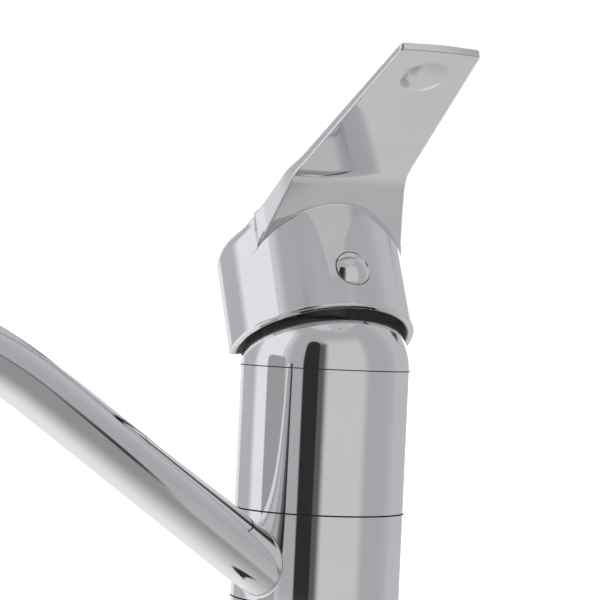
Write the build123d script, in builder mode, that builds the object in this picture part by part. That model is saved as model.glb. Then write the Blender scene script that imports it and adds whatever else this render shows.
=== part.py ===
from build123d import *
import os
from math import asin, atan2, cos, degrees, radians, sin, tan

# Single lever mixer tap with a low swivel spout.
# Millimetres. +Z is up, -Y is the front, where the lever points.
# The origin is the middle of the foot, on the deck. The lever rests lifted, at its open stop.

os.makedirs("parts", exist_ok=True)

# Clearances
running_clearance = 0.08
fixed_clearance = 0.05
seam_chamfer = 0.15
seam_gap = 0.15

# Cartridge
cartridge_radius = 20.0
cartridge_shell = 2.4
cartridge_flange = 2.0
cartridge_base_height = 6.0
disc_pocket_floor = 4.0
disc_pocket_wall = 3.6
fixed_disc_height = 3.0
moving_disc_height = 2.5
moving_disc_inset = 3.3
mixing_pocket_depth = 1.2
carrier_height = 5.1
carrier_rib_height = 1.0
carrier_rib_half_width = 8.8
sleeve_flange_height = 3.5
sleeve_neck_radius = 11.6
sleeve_top_above_pivot = 8.5
neck_shell = 2.3
neck_top_above_pivot = 6.5
shoulder_below_pivot = 6.0
shoulder_thickness = 2.5
pivot_above_cartridge_base = 27.0

# Water ways: two inlets towards the back, one mixed outlet towards the front
inlet_offset_x = 6.5
inlet_offset_y = 4.0
outlet_offset_y = 7.5
port_radius = 3.2
port_seal_wall = 1.5
port_seal_height = 1.7
port_seal_proud = 0.1
inlet_thread_radius = 4.5
inlet_thread_depth = 12.0

# Cartridge nut, body and cover
nut_thread_step = 1.4
nut_above_pivot = 4.8
nut_hex_height = 4.2
nut_hex_flats = 34.0
body_wall = 3.55
upper_body_height = 41.5
cover_wall = 2.2
cover_height = 16.0
cover_thread_height = 4.5

# Foot, core and spout ring
foot_height = 36.0
foot_above_deck = 0.6
ring_height = 26.0
core_radius = 17.5
core_bottom = 14.0
gallery_height = 8.0
gallery_depth = 3.5
ring_gallery_depth = 2.4
seal_section = 2.4
seal_from_ring_end = 4.6
slip_ring_width = 2.9
slip_ring_depth = 1.2

# Deck fixing
shank_radius = 16.5
shank_wall = 2.6
shank_length = 50.0
deck_thickness = 30.0
gasket_height = 2.0
gasket_width = 5.4
gasket_inset = 1.8
washer_radius = 24.0
rubber_washer_height = 3.0
metal_washer_height = 2.0
mounting_nut_height = 8.0
mounting_nut_flats = 41.0

# Spout
spout_heading = 201.5
spout_slope = 30.4
spout_axis_height = 32.8
spout_root_radius = 8.8
spout_radius = 8.2
spout_wall = 1.3
spout_straight_reach = 110.0
spout_arch_radius = 150.0
spout_bend_radius = 28.0
spout_socket_depth = 1.0
spout_port_radius = 5.8

# Outlet
collar_radius = 12.0
collar_height = 14.0
collar_rounding = 1.5
collar_socket_depth = 6.0
aerator_thread_radius = 10.5
aerator_thread_depth = 6.5
aerator_flange_height = 5.0
aerator_bore_radius = 8.6
aerator_lip = 0.8
aerator_gasket_height = 1.4
insert_height = 6.0
insert_hole_radius = 1.2
insert_hole_circle = 5.2
insert_hole_count = 8
screen_height = 0.8
screen_hole_radius = 1.0
screen_hole_pitch = 2.7
screen_hole_rows = 5

# Lever stem
lever_lift = 26.3
stem_lean = 13.15
stem_width = 8.0
stem_top = 30.5
stem_chamfer = 0.5
stem_shoulder = 4.5
stem_neck_radius = 2.4
stem_ball_radius = 3.2
stem_ball_drop = 14.0
pin_radius = 1.5
pin_half_length = 10.8

# Handle, measured from the pivot with the lever closed
cap_gap = 0.4
cap_wall = 2.2
cap_rim = 7.1
cap_top = 42.0
cap_shoulder = 6.5
cap_ceiling = 37.0
flare_angle = 61.3
flare_top = 40.0
neck_slope = 34.9
kink_ahead = 4.1
kink_half_width = 18.5
kink_above_cap = 5.7
bend_ahead = 7.4
bend_above_cap = 3.0
brow_ahead = 12.1
brow_half_width = 17.1
brow_above_cap = 6.0
tip_ahead = 70.4
tip_half_width = 12.0
tip_above_cap = 9.4
tip_thickness = 2.0
tip_lean = 0.6
back_relief = 2.7
rest_button_from_tip = 11.8
rest_button_radius = 6.8
rest_button_height = 1.1
rest_button_root = 0.5
boss_radius = 7.5
boss_bottom = 14.0
boss_top = 40.0
web_width = 9.0
web_below_screw = 4.2
plug_radius = 5.2
plug_height = 19.1
plug_thickness = 2.4
plug_recess = 0.3
plug_dome = 2.0
pad_radius = 6.6
pad_depth = 4.4
grub_radius = 2.5
grub_length = 8.0
grub_socket_flats = 2.5
grub_socket_depth = 3.0

# Sizes and levels that follow
nut_thread_radius = cartridge_radius + nut_thread_step
chamber_radius = cartridge_radius + 3 * fixed_clearance
body_radius = nut_thread_radius + fixed_clearance + body_wall
ring_bottom = foot_height
ring_top = ring_bottom + ring_height
pivot_height = ring_top + upper_body_height
cartridge_bottom = pivot_height - pivot_above_cartridge_base
chamber_floor = cartridge_bottom - port_seal_proud
shoulder_height = pivot_height - shoulder_below_pivot
ring_bore_radius = core_radius + running_clearance
housing_bore_radius = cartridge_radius - cartridge_shell
base_boss_radius = housing_bore_radius - fixed_clearance
fixed_disc_radius = base_boss_radius - disc_pocket_wall
moving_disc_radius = fixed_disc_radius - moving_disc_inset
fixed_disc_bottom = cartridge_bottom + disc_pocket_floor
moving_disc_bottom = fixed_disc_bottom + fixed_disc_height
carrier_bottom = moving_disc_bottom + moving_disc_height
sleeve_bottom = carrier_bottom + carrier_height + seam_gap
gallery_middle = ring_bottom + ring_height / 2
inlet_places = [(inlet_offset_x, inlet_offset_y), (-inlet_offset_x, inlet_offset_y)]
port_places = inlet_places + [(0, -outlet_offset_y)]
seal_middles = [ring_bottom + seal_from_ring_end, ring_top - seal_from_ring_end]
cap_inner_radius = body_radius + cap_gap
cap_radius = cap_inner_radius + cap_wall

# Turned and hollow pieces of the foot
with BuildPart() as base_gasket:
    with BuildSketch(Plane.XY):
        Circle(body_radius - gasket_inset)
        Circle(body_radius - gasket_inset - gasket_width, mode=Mode.SUBTRACT)
    extrude(amount=gasket_height)
base_gasket.part.label = "base_gasket"
export_step(base_gasket.part, "parts/base_gasket.step")

with BuildPart() as base_body:
    with BuildSketch(Plane.XY.offset(foot_above_deck)):
        Circle(body_radius)
    extrude(amount=foot_height - foot_above_deck)
    chamfer(base_body.edges().filter_by(GeomType.CIRCLE), length=seam_chamfer)
    with BuildSketch(Plane.XY.offset(foot_above_deck)):
        Circle(shank_radius + fixed_clearance)
    extrude(amount=core_bottom, mode=Mode.SUBTRACT)
    with BuildSketch(Plane.XY.offset(core_bottom)):
        Circle(core_radius + fixed_clearance)
    extrude(amount=foot_height, mode=Mode.SUBTRACT)
    with BuildSketch(Plane.XY.offset(foot_above_deck)):
        Circle(body_radius - gasket_inset + fixed_clearance)
        Circle(body_radius - gasket_inset - gasket_width - fixed_clearance, mode=Mode.SUBTRACT)
    extrude(amount=gasket_height - foot_above_deck, mode=Mode.SUBTRACT)
base_body.part.label = "base_body"
export_step(base_body.part, "parts/base_body.step")

# Upper body with the cartridge chamber, and the core under it
with BuildPart() as body_casting:
    with BuildSketch(Plane.XY.offset(ring_top)):
        Circle(body_radius)
    extrude(amount=upper_body_height)
    chamfer(body_casting.edges().filter_by(GeomType.CIRCLE), length=seam_chamfer)
    with BuildSketch(Plane.XY.offset(core_bottom)):
        Circle(core_radius)
    extrude(amount=ring_top - core_bottom + seam_chamfer)
    with BuildSketch(Plane.XY.offset(chamber_floor)):
        Circle(chamber_radius)
    extrude(amount=upper_body_height, mode=Mode.SUBTRACT)
    with BuildSketch(Plane.XY.offset(shoulder_height - fixed_clearance)):
        Circle(nut_thread_radius + fixed_clearance)
    extrude(amount=shoulder_below_pivot + fixed_clearance, mode=Mode.SUBTRACT)
    for seal_middle in seal_middles:
        with BuildSketch(Plane.XY.offset(seal_middle - seal_section / 2 - fixed_clearance)):
            Circle(core_radius + seam_gap)
            Circle(ring_bore_radius - seal_section - fixed_clearance, mode=Mode.SUBTRACT)
        extrude(amount=seal_section + 2 * fixed_clearance, mode=Mode.SUBTRACT)
    with BuildSketch(Plane.XY.offset(gallery_middle - gallery_height / 2)):
        Circle(core_radius + seam_gap)
        Circle(core_radius - gallery_depth, mode=Mode.SUBTRACT)
    extrude(amount=gallery_height, mode=Mode.SUBTRACT)
    with BuildSketch(Plane.XY.offset(core_bottom)):
        with Locations(*inlet_places):
            Circle(port_radius)
    extrude(amount=chamber_floor - core_bottom, mode=Mode.SUBTRACT)
    with BuildSketch(Plane.XY.offset(core_bottom)):
        with Locations(*inlet_places):
            Circle(inlet_thread_radius)
    extrude(amount=inlet_thread_depth, mode=Mode.SUBTRACT)
    with BuildSketch(Plane.XY.offset(gallery_middle - port_radius)):
        with Locations((0, -outlet_offset_y)):
            Circle(port_radius)
    extrude(amount=chamber_floor - gallery_middle + port_radius, mode=Mode.SUBTRACT)
    with BuildSketch(Plane.XZ.offset(outlet_offset_y)):
        with Locations((0, gallery_middle)):
            Circle(port_radius)
    extrude(amount=core_radius - outlet_offset_y, mode=Mode.SUBTRACT)
body_casting.part.label = "body_casting"
export_step(body_casting.part, "parts/body_casting.step")

# Rubber seals in the core's grooves, each an O ring that just clears the spout ring's bore
with BuildPart() as lower_o_ring:
    with BuildSketch(Plane.XZ):
        with Locations((ring_bore_radius - fixed_clearance - seal_section / 2, seal_middles[0])):
            Circle(seal_section / 2)
    revolve(axis=Axis.Z)
lower_o_ring.part.label = "lower_o_ring"
export_step(lower_o_ring.part, "parts/lower_o_ring.step")

with BuildPart() as upper_o_ring:
    with BuildSketch(Plane.XZ):
        with Locations((ring_bore_radius - fixed_clearance - seal_section / 2, seal_middles[1])):
            Circle(seal_section / 2)
    revolve(axis=Axis.Z)
upper_o_ring.part.label = "upper_o_ring"
export_step(upper_o_ring.part, "parts/upper_o_ring.step")

# Plastic rings that carry the spout ring between the foot and the upper body
with BuildPart() as lower_slip_ring:
    with BuildSketch(Plane.XY.offset(ring_bottom)):
        Circle(core_radius + slip_ring_width)
        Circle(core_radius + fixed_clearance, mode=Mode.SUBTRACT)
    extrude(amount=slip_ring_depth)
lower_slip_ring.part.label = "lower_slip_ring"
export_step(lower_slip_ring.part, "parts/lower_slip_ring.step")

with BuildPart() as upper_slip_ring:
    with BuildSketch(Plane.XY.offset(ring_top - slip_ring_depth)):
        Circle(core_radius + slip_ring_width)
        Circle(core_radius + fixed_clearance, mode=Mode.SUBTRACT)
    extrude(amount=slip_ring_depth)
upper_slip_ring.part.label = "upper_slip_ring"
export_step(upper_slip_ring.part, "parts/upper_slip_ring.step")

# Deck fixing under the foot
with BuildPart() as mounting_shank:
    with BuildSketch(Plane.XY.offset(-shank_length)):
        Circle(shank_radius)
        Circle(shank_radius - shank_wall, mode=Mode.SUBTRACT)
    extrude(amount=shank_length + core_bottom)
mounting_shank.part.label = "mounting_shank"
export_step(mounting_shank.part, "parts/mounting_shank.step")

with BuildPart() as rubber_washer:
    with BuildSketch(Plane.XY.offset(-deck_thickness)):
        Circle(washer_radius)
        Circle(shank_radius + 2 * fixed_clearance, mode=Mode.SUBTRACT)
    extrude(amount=-rubber_washer_height)
rubber_washer.part.label = "rubber_washer"
export_step(rubber_washer.part, "parts/rubber_washer.step")

metal_washer_top = -deck_thickness - rubber_washer_height
with BuildPart() as metal_washer:
    with BuildSketch(Plane.XY.offset(metal_washer_top)):
        Circle(washer_radius)
        Circle(shank_radius + 2 * fixed_clearance, mode=Mode.SUBTRACT)
    extrude(amount=-metal_washer_height)
metal_washer.part.label = "metal_washer"
export_step(metal_washer.part, "parts/metal_washer.step")

with BuildPart() as mounting_nut:
    with BuildSketch(Plane.XY.offset(metal_washer_top - metal_washer_height)):
        RegularPolygon(mounting_nut_flats / 2, 6, major_radius=False)
        Circle(shank_radius + fixed_clearance, mode=Mode.SUBTRACT)
    extrude(amount=-mounting_nut_height)
mounting_nut.part.label = "mounting_nut"
export_step(mounting_nut.part, "parts/mounting_nut.step")

# Cartridge, from the chamber floor up
with BuildPart() as cartridge_base:
    with BuildSketch(Plane.XY.offset(cartridge_bottom)):
        Circle(cartridge_radius)
    extrude(amount=cartridge_flange)
    with BuildSketch(Plane.XY.offset(cartridge_bottom)):
        Circle(base_boss_radius)
    extrude(amount=cartridge_base_height)
    with BuildSketch(Plane.XY.offset(fixed_disc_bottom)):
        Circle(fixed_disc_radius + fixed_clearance)
    extrude(amount=cartridge_base_height, mode=Mode.SUBTRACT)
    with BuildSketch(Plane.XY.offset(cartridge_bottom)):
        with Locations(*port_places):
            Circle(port_radius)
    extrude(amount=cartridge_base_height, mode=Mode.SUBTRACT)
    with BuildSketch(Plane.XY.offset(cartridge_bottom)):
        with Locations(*port_places):
            Circle(port_radius + port_seal_wall + fixed_clearance)
    extrude(amount=port_seal_height - port_seal_proud, mode=Mode.SUBTRACT)
cartridge_base.part.label = "cartridge_base"
export_step(cartridge_base.part, "parts/cartridge_base.step")

with BuildPart() as port_seals:
    with BuildSketch(Plane.XY.offset(chamber_floor)):
        with Locations(*port_places):
            Circle(port_radius + port_seal_wall)
            Circle(port_radius, mode=Mode.SUBTRACT)
    extrude(amount=port_seal_height)
port_seals.part.label = "port_seals"
export_step(port_seals.part, "parts/port_seals.step")

with BuildPart() as fixed_disc:
    with BuildSketch(Plane.XY.offset(fixed_disc_bottom)):
        Circle(fixed_disc_radius)
        with Locations(*port_places):
            Circle(port_radius, mode=Mode.SUBTRACT)
    extrude(amount=fixed_disc_height)
fixed_disc.part.label = "fixed_disc"
export_step(fixed_disc.part, "parts/fixed_disc.step")

# The moving disc's pocket joins the inlets to the outlet as it slides
stem_swing = stem_ball_drop * sin(radians(lever_lift - stem_lean))
disc_middle = -stem_swing
with BuildPart() as moving_disc:
    with BuildSketch(Plane.XY.offset(moving_disc_bottom)):
        with Locations((0, disc_middle)):
            Circle(moving_disc_radius)
    extrude(amount=moving_disc_height)
    with BuildSketch(Plane.XY.offset(moving_disc_bottom)):
        with Locations((0, disc_middle)):
            SlotOverall(2 * inlet_offset_x, 2 * port_radius)
    extrude(amount=mixing_pocket_depth, mode=Mode.SUBTRACT)
moving_disc.part.label = "moving_disc"
export_step(moving_disc.part, "parts/moving_disc.step")

with BuildPart() as disc_carrier:
    with BuildSketch(Plane.XY.offset(carrier_bottom)):
        with Locations((0, disc_middle)):
            Circle(moving_disc_radius)
    extrude(amount=carrier_height)
    with BuildSketch(Plane.XY.offset(carrier_bottom)):
        with Locations((0, disc_middle)):
            Circle(moving_disc_radius)
            Rectangle(2 * carrier_rib_half_width, 3 * moving_disc_radius, mode=Mode.INTERSECT)
    extrude(amount=carrier_height + carrier_rib_height)
    with BuildSketch(Plane.XY.offset(carrier_bottom)):
        with Locations((0, disc_middle)):
            Circle(stem_ball_radius + seam_gap)
    extrude(amount=carrier_height + carrier_rib_height, mode=Mode.SUBTRACT)
disc_carrier.part.label = "disc_carrier"
export_step(disc_carrier.part, "parts/disc_carrier.step")

with BuildPart() as cartridge_housing:
    with BuildSketch(Plane.XY.offset(cartridge_bottom + cartridge_flange)):
        Circle(cartridge_radius)
    extrude(amount=shoulder_height - cartridge_bottom - cartridge_flange)
    with BuildSketch(Plane.XY.offset(shoulder_height - shoulder_thickness)):
        Circle(sleeve_neck_radius + running_clearance + neck_shell)
    extrude(amount=shoulder_thickness + shoulder_below_pivot + neck_top_above_pivot)
    with BuildSketch(Plane.XY.offset(cartridge_bottom)):
        Circle(housing_bore_radius)
    extrude(amount=shoulder_height - shoulder_thickness - cartridge_bottom, mode=Mode.SUBTRACT)
    with BuildSketch(Plane.XY.offset(cartridge_bottom)):
        Circle(sleeve_neck_radius + running_clearance)
    extrude(amount=2 * pivot_above_cartridge_base, mode=Mode.SUBTRACT)
cartridge_housing.part.label = "cartridge_housing"
export_step(cartridge_housing.part, "parts/cartridge_housing.step")

# The sleeve turns in the housing's neck; its slot lets the stem tilt
pivot_plane = Plane.XY.offset(pivot_height)
slot_reach = max(sleeve_top_above_pivot, pivot_height - sleeve_bottom)
slot_half_length = slot_reach * tan(radians(stem_lean)) + stem_width / 2 / cos(radians(stem_lean))
with BuildPart() as turning_sleeve:
    with BuildSketch(Plane.XY.offset(sleeve_bottom)):
        Circle(housing_bore_radius - 4 * running_clearance)
    extrude(amount=sleeve_flange_height)
    with BuildSketch(Plane.XY.offset(sleeve_bottom)):
        Circle(sleeve_neck_radius)
    extrude(amount=pivot_height + sleeve_top_above_pivot - sleeve_bottom)
    with BuildSketch(Plane.XY.offset(sleeve_bottom)):
        Rectangle(stem_width + 2 * seam_gap, 2 * slot_half_length + 2 * seam_gap)
    extrude(amount=2 * pivot_above_cartridge_base, mode=Mode.SUBTRACT)
    with BuildSketch(Plane.XY.offset(sleeve_bottom)):
        Rectangle(2 * (carrier_rib_half_width + running_clearance), 2 * cartridge_radius)
    extrude(amount=carrier_rib_height + seam_gap, mode=Mode.SUBTRACT)
    with BuildSketch(Plane.YZ.offset(-sleeve_neck_radius)):
        with Locations((0, pivot_height)):
            Circle(pin_radius + fixed_clearance)
    extrude(amount=2 * sleeve_neck_radius, mode=Mode.SUBTRACT)
turning_sleeve.part.label = "turning_sleeve"
export_step(turning_sleeve.part, "parts/turning_sleeve.step")

with BuildPart() as stem_pin:
    with BuildSketch(Plane.YZ.offset(-pin_half_length)):
        with Locations((0, pivot_height)):
            Circle(pin_radius)
    extrude(amount=2 * pin_half_length)
stem_pin.part.label = "stem_pin"
export_step(stem_pin.part, "parts/stem_pin.step")

with BuildPart() as cartridge_nut:
    with BuildSketch(Plane.XY.offset(shoulder_height)):
        Circle(nut_thread_radius)
    extrude(amount=shoulder_below_pivot + nut_above_pivot)
    with BuildSketch(Plane.XY.offset(pivot_height + nut_above_pivot)):
        RegularPolygon(nut_hex_flats / 2, 6, major_radius=False)
    extrude(amount=nut_hex_height)
    with BuildSketch(Plane.XY.offset(shoulder_height)):
        Circle(sleeve_neck_radius + running_clearance + neck_shell + 2 * fixed_clearance)
    extrude(amount=2 * pivot_above_cartridge_base, mode=Mode.SUBTRACT)
cartridge_nut.part.label = "cartridge_nut"
export_step(cartridge_nut.part, "parts/cartridge_nut.step")

# Domed cover, a hemisphere about the pivot, open at the top for the stem
cover_inner_radius = body_radius - cover_wall
cover_edge_angle = degrees(asin(cover_height / body_radius))
cover_ledge_angle = degrees(asin(cover_thread_height / cover_inner_radius))
cover_lip_angle = degrees(asin(cover_height / cover_inner_radius))
with BuildPart() as dome_cover:
    with BuildSketch(Plane.XZ):
        with BuildLine():
            outer_arc = CenterArc((0, pivot_height), body_radius, 0, cover_edge_angle)
            inner_arc = CenterArc(
                (0, pivot_height),
                cover_inner_radius,
                cover_ledge_angle,
                cover_lip_angle - cover_ledge_angle,
            )
            Line(outer_arc @ 1, inner_arc @ 1)
            Polyline(
                inner_arc @ 0,
                (nut_thread_radius + fixed_clearance, pivot_height + cover_thread_height),
                (nut_thread_radius + fixed_clearance, pivot_height),
                outer_arc @ 0,
            )
        make_face()
    revolve(axis=Axis.Z)
    chamfer(
        dome_cover.edges().filter_by(GeomType.CIRCLE).group_by(Axis.Z)[0].sort_by(SortBy.RADIUS)[-1],
        length=seam_chamfer,
    )
dome_cover.part.label = "dome_cover"
export_step(dome_cover.part, "parts/dome_cover.step")

# Spout route: straight and rising, a wide arch to level, then a bend to point down
heading = Vector(cos(radians(spout_heading)), sin(radians(spout_heading)), 0)
spout_plane = Plane(origin=(0, 0, 0), x_dir=heading, z_dir=heading.cross(Vector(0, 0, 1)))
spout_direction = heading * cos(radians(spout_slope)) + Vector(0, 0, 1) * sin(radians(spout_slope))
spout_axis_start = Vector(0, 0, spout_axis_height)
spout_inside = spout_axis_start + spout_direction * (core_radius / 2)
spout_straight_end = spout_axis_start + spout_direction * (
    spout_straight_reach / cos(radians(spout_slope))
)
straight_end_height = spout_axis_height + spout_straight_reach * tan(radians(spout_slope))
root_plane = Plane(origin=spout_inside, z_dir=spout_direction)
arch_plane = Plane(origin=spout_straight_end, z_dir=spout_direction)
with BuildLine(spout_plane) as spout_route:
    arch = JernArc(
        (spout_straight_reach, straight_end_height),
        (cos(radians(spout_slope)), sin(radians(spout_slope))),
        spout_arch_radius,
        -spout_slope,
    )
    bend = JernArc(arch @ 1, arch % 1, spout_bend_radius, -90)
    Line(bend @ 1, (bend @ 1) - Vector(0, 0, collar_socket_depth))
spout_end = bend @ 1
collar_top = spout_end.Z
collar_bottom = collar_top - collar_height
outlet_place = (spout_end.X, spout_end.Y)

# The spout ring and the tube in its socket
with BuildPart() as spout_socket:
    with BuildSketch(root_plane):
        Circle(spout_root_radius + fixed_clearance)
    with BuildSketch(arch_plane):
        Circle(spout_radius + fixed_clearance)
    loft()
    with BuildSketch(Plane.XY):
        Circle(body_radius - spout_socket_depth - fixed_clearance)
    extrude(amount=pivot_height, mode=Mode.SUBTRACT)

with BuildPart() as spout_port:
    with BuildSketch(root_plane):
        Circle(spout_port_radius)
    extrude(amount=2 * body_radius)
    with BuildSketch(Plane.XY):
        Circle(ring_bore_radius + ring_gallery_depth - fixed_clearance)
    extrude(amount=pivot_height, mode=Mode.SUBTRACT)

with BuildPart() as swivel_ring:
    with BuildSketch(Plane.XY.offset(ring_bottom + seam_gap)):
        Circle(body_radius)
    extrude(amount=ring_height - 2 * seam_gap)
    chamfer(swivel_ring.edges().filter_by(GeomType.CIRCLE), length=seam_chamfer)
    with BuildSketch(Plane.XY.offset(ring_bottom)):
        Circle(ring_bore_radius)
    extrude(amount=ring_height, mode=Mode.SUBTRACT)
    with BuildSketch(Plane.XY.offset(gallery_middle - gallery_height / 2)):
        Circle(ring_bore_radius + ring_gallery_depth)
    extrude(amount=gallery_height, mode=Mode.SUBTRACT)
    for recess_bottom in (ring_bottom, ring_top - slip_ring_depth - fixed_clearance):
        with BuildSketch(Plane.XY.offset(recess_bottom)):
            Circle(core_radius + slip_ring_width + running_clearance)
        extrude(amount=slip_ring_depth + fixed_clearance, mode=Mode.SUBTRACT)
    add(spout_socket.part, mode=Mode.SUBTRACT)
    add(spout_port.part, mode=Mode.SUBTRACT)
swivel_ring.part.label = "swivel_ring"
export_step(swivel_ring.part, "parts/swivel_ring.step")

with BuildPart() as spout_tube:
    for inset, way in ((0, Mode.ADD), (spout_wall, Mode.SUBTRACT)):
        with BuildSketch(root_plane):
            Circle(spout_root_radius - inset)
        with BuildSketch(arch_plane):
            Circle(spout_radius - inset)
        loft(mode=way)
        with BuildSketch(arch_plane):
            Circle(spout_radius - inset)
        sweep(path=spout_route.line, mode=way)
    with BuildSketch(Plane.XY):
        Circle(body_radius - spout_socket_depth)
    extrude(amount=pivot_height, mode=Mode.SUBTRACT)
spout_tube.part.label = "spout_tube"
export_step(spout_tube.part, "parts/spout_tube.step")

# Outlet collar and aerator, on the upright axis at the end of the spout
with BuildPart() as spout_collar:
    with BuildSketch(Plane.XY.offset(collar_bottom)):
        with Locations(outlet_place):
            Circle(collar_radius)
    extrude(amount=collar_height)
    fillet(spout_collar.edges().filter_by(GeomType.CIRCLE).sort_by(Axis.Z)[-1], radius=collar_rounding)
    with BuildSketch(Plane.XY.offset(collar_bottom)):
        with Locations(outlet_place):
            Circle(spout_radius - spout_wall)
    extrude(amount=collar_height, mode=Mode.SUBTRACT)
    with BuildSketch(Plane.XY.offset(collar_top - collar_socket_depth)):
        with Locations(outlet_place):
            Circle(spout_radius + fixed_clearance)
    extrude(amount=collar_socket_depth, mode=Mode.SUBTRACT)
    with BuildSketch(Plane.XY.offset(collar_bottom)):
        with Locations(outlet_place):
            Circle(aerator_thread_radius + fixed_clearance)
    extrude(amount=aerator_thread_depth, mode=Mode.SUBTRACT)
spout_collar.part.label = "spout_collar"
export_step(spout_collar.part, "parts/spout_collar.step")

thread_top = collar_bottom + aerator_thread_depth - aerator_gasket_height
aerator_bottom = collar_bottom - aerator_flange_height
insert_bottom = thread_top - insert_height
screen_bottom = insert_bottom - screen_height
with BuildPart() as aerator_housing:
    with BuildSketch(Plane.XY.offset(aerator_bottom)):
        with Locations(outlet_place):
            Circle(collar_radius)
    extrude(amount=aerator_flange_height - seam_gap)
    chamfer(aerator_housing.edges().filter_by(GeomType.CIRCLE), length=2 * seam_chamfer)
    with BuildSketch(Plane.XY.offset(aerator_bottom)):
        with Locations(outlet_place):
            Circle(aerator_thread_radius)
    extrude(amount=thread_top - aerator_bottom)
    with BuildSketch(Plane.XY.offset(aerator_bottom)):
        with Locations(outlet_place):
            Circle(aerator_bore_radius - aerator_lip)
    extrude(amount=thread_top - aerator_bottom, mode=Mode.SUBTRACT)
    with BuildSketch(Plane.XY.offset(screen_bottom)):
        with Locations(outlet_place):
            Circle(aerator_bore_radius)
    extrude(amount=thread_top - screen_bottom, mode=Mode.SUBTRACT)
aerator_housing.part.label = "aerator_housing"
export_step(aerator_housing.part, "parts/aerator_housing.step")

with BuildPart() as aerator_gasket:
    with BuildSketch(Plane.XY.offset(thread_top)):
        with Locations(outlet_place):
            Circle(aerator_thread_radius)
            Circle(spout_radius - spout_wall, mode=Mode.SUBTRACT)
    extrude(amount=aerator_gasket_height)
aerator_gasket.part.label = "aerator_gasket"
export_step(aerator_gasket.part, "parts/aerator_gasket.step")

with BuildPart() as aerator_insert:
    with BuildSketch(Plane.XY.offset(insert_bottom)):
        with Locations(outlet_place):
            Circle(aerator_bore_radius - fixed_clearance)
            with PolarLocations(insert_hole_circle, insert_hole_count):
                Circle(insert_hole_radius, mode=Mode.SUBTRACT)
    extrude(amount=insert_height)
aerator_insert.part.label = "aerator_insert"
export_step(aerator_insert.part, "parts/aerator_insert.step")

with BuildPart() as aerator_screen:
    with BuildSketch(Plane.XY.offset(screen_bottom)):
        with Locations(outlet_place):
            Circle(aerator_bore_radius - fixed_clearance)
            with HexLocations(screen_hole_pitch / 2, screen_hole_rows, screen_hole_rows):
                RegularPolygon(screen_hole_radius, 6, mode=Mode.SUBTRACT)
    extrude(amount=screen_height)
aerator_screen.part.label = "aerator_screen"
export_step(aerator_screen.part, "parts/aerator_screen.step")

# Lever frames: the handle's, with the lever lifted, and the stem's, which leans forward in it
lever_plane = Plane(
    origin=(0, 0, pivot_height),
    x_dir=(1, 0, 0),
    z_dir=(0, sin(radians(lever_lift)), cos(radians(lever_lift))),
)
stem_plane = Plane(
    origin=(0, 0, pivot_height),
    x_dir=(1, 0, 0),
    z_dir=(0, sin(radians(lever_lift - stem_lean)), cos(radians(lever_lift - stem_lean))),
)
lever_side = Plane(origin=lever_plane.origin, x_dir=lever_plane.y_dir, z_dir=lever_plane.x_dir)
stem_side = Plane(origin=stem_plane.origin, x_dir=stem_plane.y_dir, z_dir=stem_plane.x_dir)

with BuildPart() as stem:
    with BuildSketch(stem_plane.offset(-stem_shoulder)):
        Rectangle(stem_width, stem_width)
    extrude(amount=stem_shoulder + stem_top)
    chamfer(stem.faces().sort_by(Axis.Z)[-1].edges(), length=stem_chamfer)
    with BuildSketch(stem_plane.offset(-stem_ball_drop)):
        Circle(stem_neck_radius)
    extrude(amount=stem_ball_drop - stem_shoulder)
    with Locations(stem_plane.offset(-stem_ball_drop)):
        Sphere(stem_ball_radius)
    with BuildSketch(stem_side.offset(-stem_width)):
        Circle(pin_radius + running_clearance)
    extrude(amount=2 * stem_width, mode=Mode.SUBTRACT)
stem.part.label = "stem"
export_step(stem.part, "parts/stem.step")

# The plug's place on the cap, and the grub screw's height on the stem
screw_height = cap_radius * sin(radians(stem_lean)) + plug_height * cos(radians(stem_lean))
plug_plane = Plane(
    origin=lever_plane.from_local_coords(Vector(0, -cap_radius, plug_height)),
    x_dir=lever_plane.x_dir,
    z_dir=-lever_plane.y_dir,
)
screw_plane = Plane(
    origin=stem_plane.from_local_coords(Vector(0, -stem_width / 2 - fixed_clearance, screw_height)),
    x_dir=stem_plane.x_dir,
    z_dir=-stem_plane.y_dir,
)

# Side outline of the neck and blade, closed: front is -y, heights are from the pivot
flare_front = -cap_radius * cos(radians(flare_angle))
flare_half_width = cap_radius * sin(radians(flare_angle)) - fixed_clearance
bend_point = (-cap_radius - bend_ahead, cap_top + bend_above_cap)
kink_point = (-cap_radius - kink_ahead, cap_top + kink_above_cap)
brow_point = (-cap_radius - brow_ahead, cap_top + brow_above_cap)
tip_point = (-cap_radius - tip_ahead, cap_top + tip_above_cap)
tip_under_point = (tip_point[0] + tip_lean, tip_point[1] - tip_thickness)
brow_slope = (kink_point[1] - flare_top) / (kink_point[0] - flare_front)
crown_point = (flare_front + (cap_top - flare_top) / brow_slope, cap_top)
neck_inner_point = (0, bend_point[1] + bend_point[0] * tan(radians(neck_slope)))
blade_slope = atan2(tip_under_point[1] - bend_point[1], bend_point[0] - tip_under_point[0])
rest_button_middle = (
    tip_under_point[0] + rest_button_from_tip * cos(blade_slope),
    tip_under_point[1] - rest_button_from_tip * sin(blade_slope),
)
rest_button_sphere = (rest_button_radius**2 + rest_button_height**2) / (2 * rest_button_height)
rest_button_depth = rest_button_sphere - rest_button_height
rest_button_ball_middle = lever_side.from_local_coords(
    Vector(
        rest_button_middle[0] + rest_button_depth * sin(blade_slope),
        rest_button_middle[1] + rest_button_depth * cos(blade_slope),
        0,
    )
)
rest_button_place = lever_side.from_local_coords(Vector(rest_button_middle[0], rest_button_middle[1], 0))
rest_button_plane = Plane(
    origin=rest_button_place,
    x_dir=lever_plane.x_dir,
    z_dir=rest_button_place - rest_button_ball_middle,
)

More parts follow.
